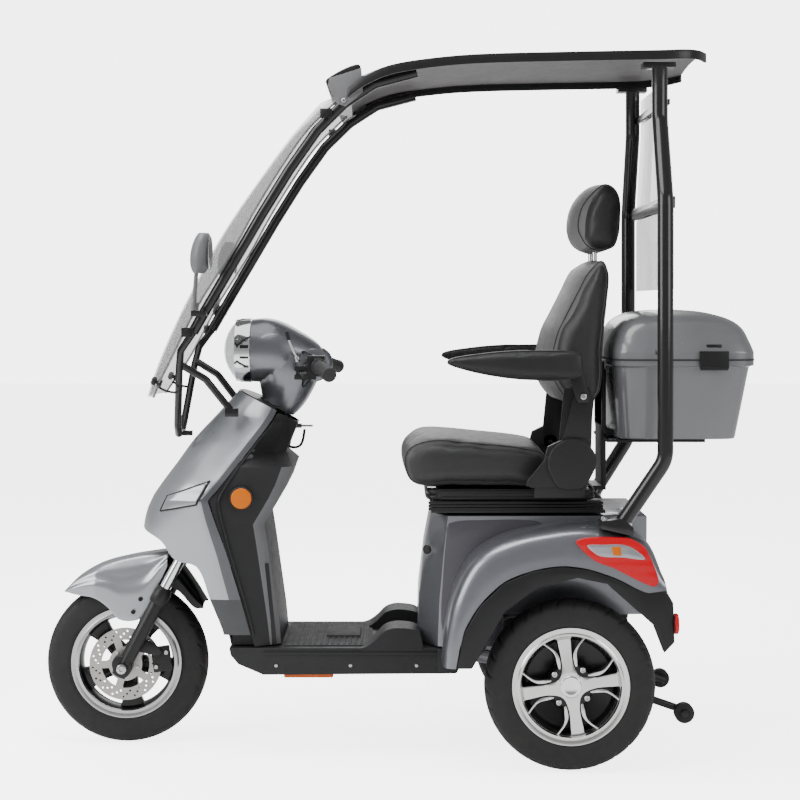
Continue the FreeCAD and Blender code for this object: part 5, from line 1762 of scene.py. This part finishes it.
@dataclass
class Seat:
    """The armchair seat: carriage, cushions, armrests and recliner covers."""

    cushion: tuple = ((-366, 668), (-370, 715), (-352, 748), (-300, 762), (-190, 774), (-90, 783), (-40, 781),
                      (-6, 768), (8, 742), (5, 708), (-6, 682), (-26, 666), (-120, 664), (-260, 664))
    back: tuple = ((-470, 1219), (-440, 1190), (-410, 1130), (-382, 1075), (-362, 1035), (-346, 960), (-350, 915),
                   (-378, 872), (-417, 846), (-452, 842), (-480, 866), (-489, 920), (-493, 1000), (-503, 1111),
                   (-510, 1195), (-496, 1219))
    head: tuple = ((-470, 1229), (-440, 1240), (-424, 1262), (-418, 1300), (-430, 1350), (-462, 1390), (-500, 1405),
                   (-532, 1396), (-549, 1360), (-546, 1295), (-536, 1240), (-510, 1229))
    pad: tuple = ((-108, 960), (-114, 973), (-180, 985), (-260, 993), (-360, 994), (-424, 990), (-433, 976),
                  (-431, 934), (-400, 922), (-300, 921), (-230, 928), (-160, 942))

    def cushions(self) -> None:
        """The seat cushion, the backrest and the headrest."""
        PaddedForm("seat_cushion_padded", self.cushion, 235, 206, SEAT_GREY, "seat", "seat_cushion", crown=17,
                   back_crown=3, crown_way=(0.75, 0.75)).build()
        PaddedForm("backrest_padded", self.back, 220, 186, BACK_GREY, "backrest", "backrest", crown=30,
                   back_crown=4, crown_way=(1.0, 0.15)).build()
        PaddedForm("headrest_padded", self.head, 130, 98, HEAD_GREY, "headrest", "headrest_cushion", crown=40,
                   back_crown=4, crown_way=(1.0, 0.0), voxel_mm=6.0).build()
        for side in Side:
            node = f"armrest_{side.label}"
            arm = PaddedForm(f"{node}_padded", self.pad, 24, 17, ARM_VINYL, node, "", crown=5, back_crown=4,
                             middle_y=side.value * 292, voxel_mm=4.0, cap_mm=3.0, shrink=1.5, fill=0.9)
            arm.build()

    def brackets(self) -> None:
        """The back's hinge arms, the armrest brackets and their bolts."""
        for side in Side:
            sign = side.value
            plate = side_slab("arm", [(-416, 722), (-384, 722), (-378, 760), (-392, 900), (-450, 900),
                                      (-430, 790)], *side.span(238, 244.5))
            boss = turned("boss", [(0, 6.2), (0, 19), (6.5, 19), (6.5, 6.2), (0, 6.2)], at(-400, sign * 238, 735),
                          side.outward, 40)
            low, high = side.span(205, 243)
            lug = rounded_block("lug", at(-446, low, 862), at(-412, high, 898), 2.0)
            dress(joined(f"back_hinge_{side.label}", [soften(plate, 1.5), boss, lug]), FRAME_BLACK, "backrest")
            tongue = side_slab("tongue", [(-452, 876), (-446, 867), (-424, 867), (-418, 876), (-396, 944),
                                          (-430, 944)], *side.span(264.5, 270))
            node = f"armrest_{side.label}"
            dress(soften(tongue, 1.4), FRAME_BLACK, node, node).name = f"armrest_tongue_{side.label}"
            bolt = [facing(at(-435, sign * 275, 882), side.outward)]
            dress(spread(f"armrest_bolt_{side.label}", bolt_head(7.0, 4.0), bolt), ZINC, "seat")

    def covers(self) -> None:
        """Domed recliner covers, their front plates and the upright's cladding."""
        round_cover = smooth_line([(-350, 722), (-362, 758), (-396, 780), (-436, 776), (-462, 748), (-466, 722),
                                   (-452, 688), (-436, 664), (-380, 663), (-360, 690)], 56, True)
        dome = soften(side_slab("dome", round_cover, 266, 275), 4.5, 4)
        front = soften(side_slab("plate", [(-300, 671), (-304, 684), (-338, 726), (-352, 742), (-376, 742),
                                           (-376, 664), (-312, 664)], 264, 269), 2.5, 3)
        dress(both_sides("recliner_covers", joined("covers", [dome, front])), ARM_VINYL, "seat")
        blade = side_slab("blade", [(-388, 782), (-452, 782), (-462, 880), (-452, 904), (-420, 903),
                                    (-409, 868)], 262.2, 263.6)
        dress(both_sides("upright_covers", soften(blade, 0.6)), SATIN_BLACK, "seat")

    def rails(self) -> None:
        """Ridged rail covers: the lower stack stays, the upper one slides."""
        def place(u: float, v: float) -> Vector:
            """The point round the sliding stack and up its ridges."""
            angle = 2 * math.pi * u
            ridge = 3.0 * abs(math.sin(v * math.pi * 2))
            return at(-268 + (204 + ridge) * power(math.cos(angle), 0.16),
                      (199 + ridge) * power(math.sin(angle), 0.16), 628 + 27 * v)

        stack = wall(surface("upper_rail_cover", 96, 24, place, turn=False), 3.0)
        dress(shade(stack), SATIN_BLACK, "seat")
        strips = [rounded_block("strip", at(-490, 199.5, low), at(-68, 204.5 - lean, low + 6.5), 1.6)
                  for low, lean in ((604, 1.2), (611.5, 0.6), (619, 0))]
        dress(both_sides("lower_rail_strips", joined("strips", strips)), SATIN_BLACK, "chassis")

    def build(self) -> None:
        """Makes the whole seat."""
        self.cushions()
        self.brackets()
        self.covers()
        self.rails()
        dress(refined("seat_carriage", 1.2), FRAME_BLACK, "seat", "seat_carriage")


def power(value: float, exponent: float) -> float:
    """A signed power, for rounded rectangles."""
    return math.copysign(abs(value) ** exponent, value)


@dataclass
class LuggageBox:
    """The grey top box: tub, gasket, domed lid, latch and hinge hardware."""

    corner: float = 0.3
    tub: tuple = ((0, -536, -816, 150, 773), (0.05, -530, -822, 186, 774), (0.12, -529, -825, 188, 790),
                  (0.9, -516, -855, 207, 950), (0.92, -513, -866, 213, 952), (1, -513, -866, 213, 965))
    lid: tuple = ((0, -513, -866, 213, 968), (0.14, -513, -866, 213, 985), (0.3, -518, -856, 204, 1010),
                  (0.5, -530, -838, 188, 1044), (0.66, -550, -806, 166, 1066), (0.8, -585, -755, 122, 1081),
                  (0.92, -630, -710, 50, 1086.5), (1, -670, -672, 1, 1087.5))

    def shell(self, name: str, table: tuple, creases: Sequence[float], thickness: float) -> Piece:
        """A walled shell of rounded rectangles.

        Args:
            name: The piece's name.
            table: Rows of (share, front, rear, half-width, height).
            creases: Shares where the wall breaks.
            thickness: The wall in millimetres.

        Returns:
            The shell.
        """
        def place(u: float, v: float) -> Vector:
            """The point round the box and up its wall."""
            front, rear, half, z = read_table(table, v, creases)
            angle = 2 * math.pi * u
            x = (front + rear) / 2 + (front - rear) / 2 * power(math.cos(angle), self.corner)
            return at(x, half * power(math.sin(angle), self.corner), z)

        return wall(surface(name, 128, 64, place, turn=False), thickness)

    def trim(self) -> None:
        """The gasket, the lid's panel line, the reflector and the slot above the latch."""
        gasket = self.shell("box_gasket", ((0, -511.5, -867.2, 214.2, 964.6), (1, -511.5, -867.2, 214.2, 968.6)),
                            (), 4.0)
        dress(shade(gasket), GRIP_BLACK, "seat")
        arcs = []
        for x_offset in (0, 4):
            points = []
            for index in range(13):
                share = index / 12
                front, rear, half, z = read_table(self.lid, 0.1 + 0.72 * math.sin(math.pi * share))
                sign = math.cos(math.pi * share)
                points.append(at(-616 - x_offset, half * power(sign, 0.6) * 1.004, z + 0.8))
            arcs.append(tube("arc", points, 1.5))
        dress(joined("lid_panel_line", arcs), GRIP_BLACK, "lid")
        plate = rounded_block("lid_reflector", at(-862, -60, 994), at(-850, 60, 1014), 2.5)
        dress(plate, LENS_RED, "lid")
        slot = soften(side_slab("slot", [(-775, 992), (-738, 992), (-738, 1004), (-775, 1004)], 204, 209), 1.5)
        dress(both_sides("lid_grip_slots", slot), SATIN_BLACK, "lid")

    def hardware(self) -> None:
        """The bracket and hinge straps at the box's front."""
        straps = [rounded_block("strap", at(-514, y - 14, 930), at(-508.5, y + 14, 962), 1.2) for y in (-37, 37)]
        dress(joined("hinge_straps", straps), ZINC, "seat")
        angle_bar = side_slab("bracket", [(-500, 960), (-506, 960), (-510, 800), (-516, 792), (-560, 786),
                                          (-560, 780), (-504, 780), (-500, 800)], -90, 90)
        dress(soften(angle_bar, 1.2), FRAME_BLACK, "seat").name = "box_bracket"

    def build(self) -> None:
        """Makes the whole box."""
        tub = self.shell("box_tub", self.tub, (0.05, 0.12, 0.9, 0.92), 4.0)
        dress(shade(tub), BOX_GREY, "seat", "box_base")
        lid = self.shell("box_lid_dome", self.lid, (0.14,), 4.0)
        dress(shade(lid), BOX_GREY, "lid", "box_lid")
        self.trim()
        self.hardware()
        dress(refined("box_latch", 1.2, 3), SATIN_BLACK, "latch", "box_latch")


# ------------------------------------------------------------------ everything else


CAD_FINISHES = {
    "chassis_frame": FRAME_BLACK, "steering_bearings": ZINC, "battery_pack": BLACK_PLASTIC,
    "motor_controller": CAST, "seat_base_rails": FRAME_BLACK, "steering_stem": FRAME_BLACK,
    "fork_stanchions": CHROME, "rear_axle_housing": CAST, "shock_absorbers": FRAME_BLACK,
    "headrest_posts": CHROME, "anti_tip_roller_left": TYRE_BLACK, "anti_tip_roller_right": TYRE_BLACK,
    "front_brake_disc": DISC_STEEL}
ROUNDED_NODES = ("chassis_frame", "anti_tip_roller_left", "anti_tip_roller_right", "seat_base_rails",
                 "rear_axle_housing")


@dataclass
class Running:
    """The frame, axle and other metalwork, with the springs round the dampers."""

    foot: Vector = field(default_factory=lambda: Vector((-424, 150, 240)))
    head: Vector = field(default_factory=lambda: Vector((-388, 150, 446)))
    turns: int = 8
    steps: int = 12
    coil_start: float = 49.0
    coil_length: float = 96.0
    coil_radius: float = 24.0
    wire_radius: float = 2.6

    def metalwork(self) -> None:
        """Dresses the CAD's own parts, some of them with softened edges."""
        bodies = frame["record"]["behaviour"]["bodies"]
        owner = {node: body for body, nodes in bodies.items() for node in nodes}
        for node, finish in CAD_FINISHES.items():
            if node in ROUNDED_NODES:
                dress(refined(node, 1.0), finish, owner[node], node)
                continue
            for holder in frame["nodes"][node].material_slots:
                holder.material = finish.build()

    def springs(self) -> None:
        """A coil round each damper tube."""
        along = (self.head - self.foot).normalized()
        across = along.orthogonal().normalized()
        beside = along.cross(across)
        count = self.turns * self.steps
        points = []
        for index in range(count + 1):
            angle = 2 * math.pi * index / self.steps
            out = across * math.cos(angle) + beside * math.sin(angle)
            rise = self.coil_start + self.coil_length * index / count
            points.append(at(*(self.foot + along * rise + out * self.coil_radius)))
        dress(both_sides("damper_springs", tube("coil", points, self.wire_radius)), TRAY_ORANGE, "rear_axle")

    def build(self) -> None:
        """Dresses the running gear."""
        self.metalwork()
        self.springs()


def main() -> None:
    """Builds the scooter, piece by piece."""
    logging.basicConfig(level=logging.INFO, format="%(message)s")
    Studio().build()
    assemblies = [FrontFairing(), FrontFender(), Fork(), FrontWheel(), RearWheel(Side.LEFT),
                  RearWheel(Side.RIGHT), Cowl(), Deck(), RearBody(), Canopy(), Seat(), LuggageBox(), Running()]
    for assembly in assemblies:
        assembly.build()


if __name__ == "__main__":
    main()
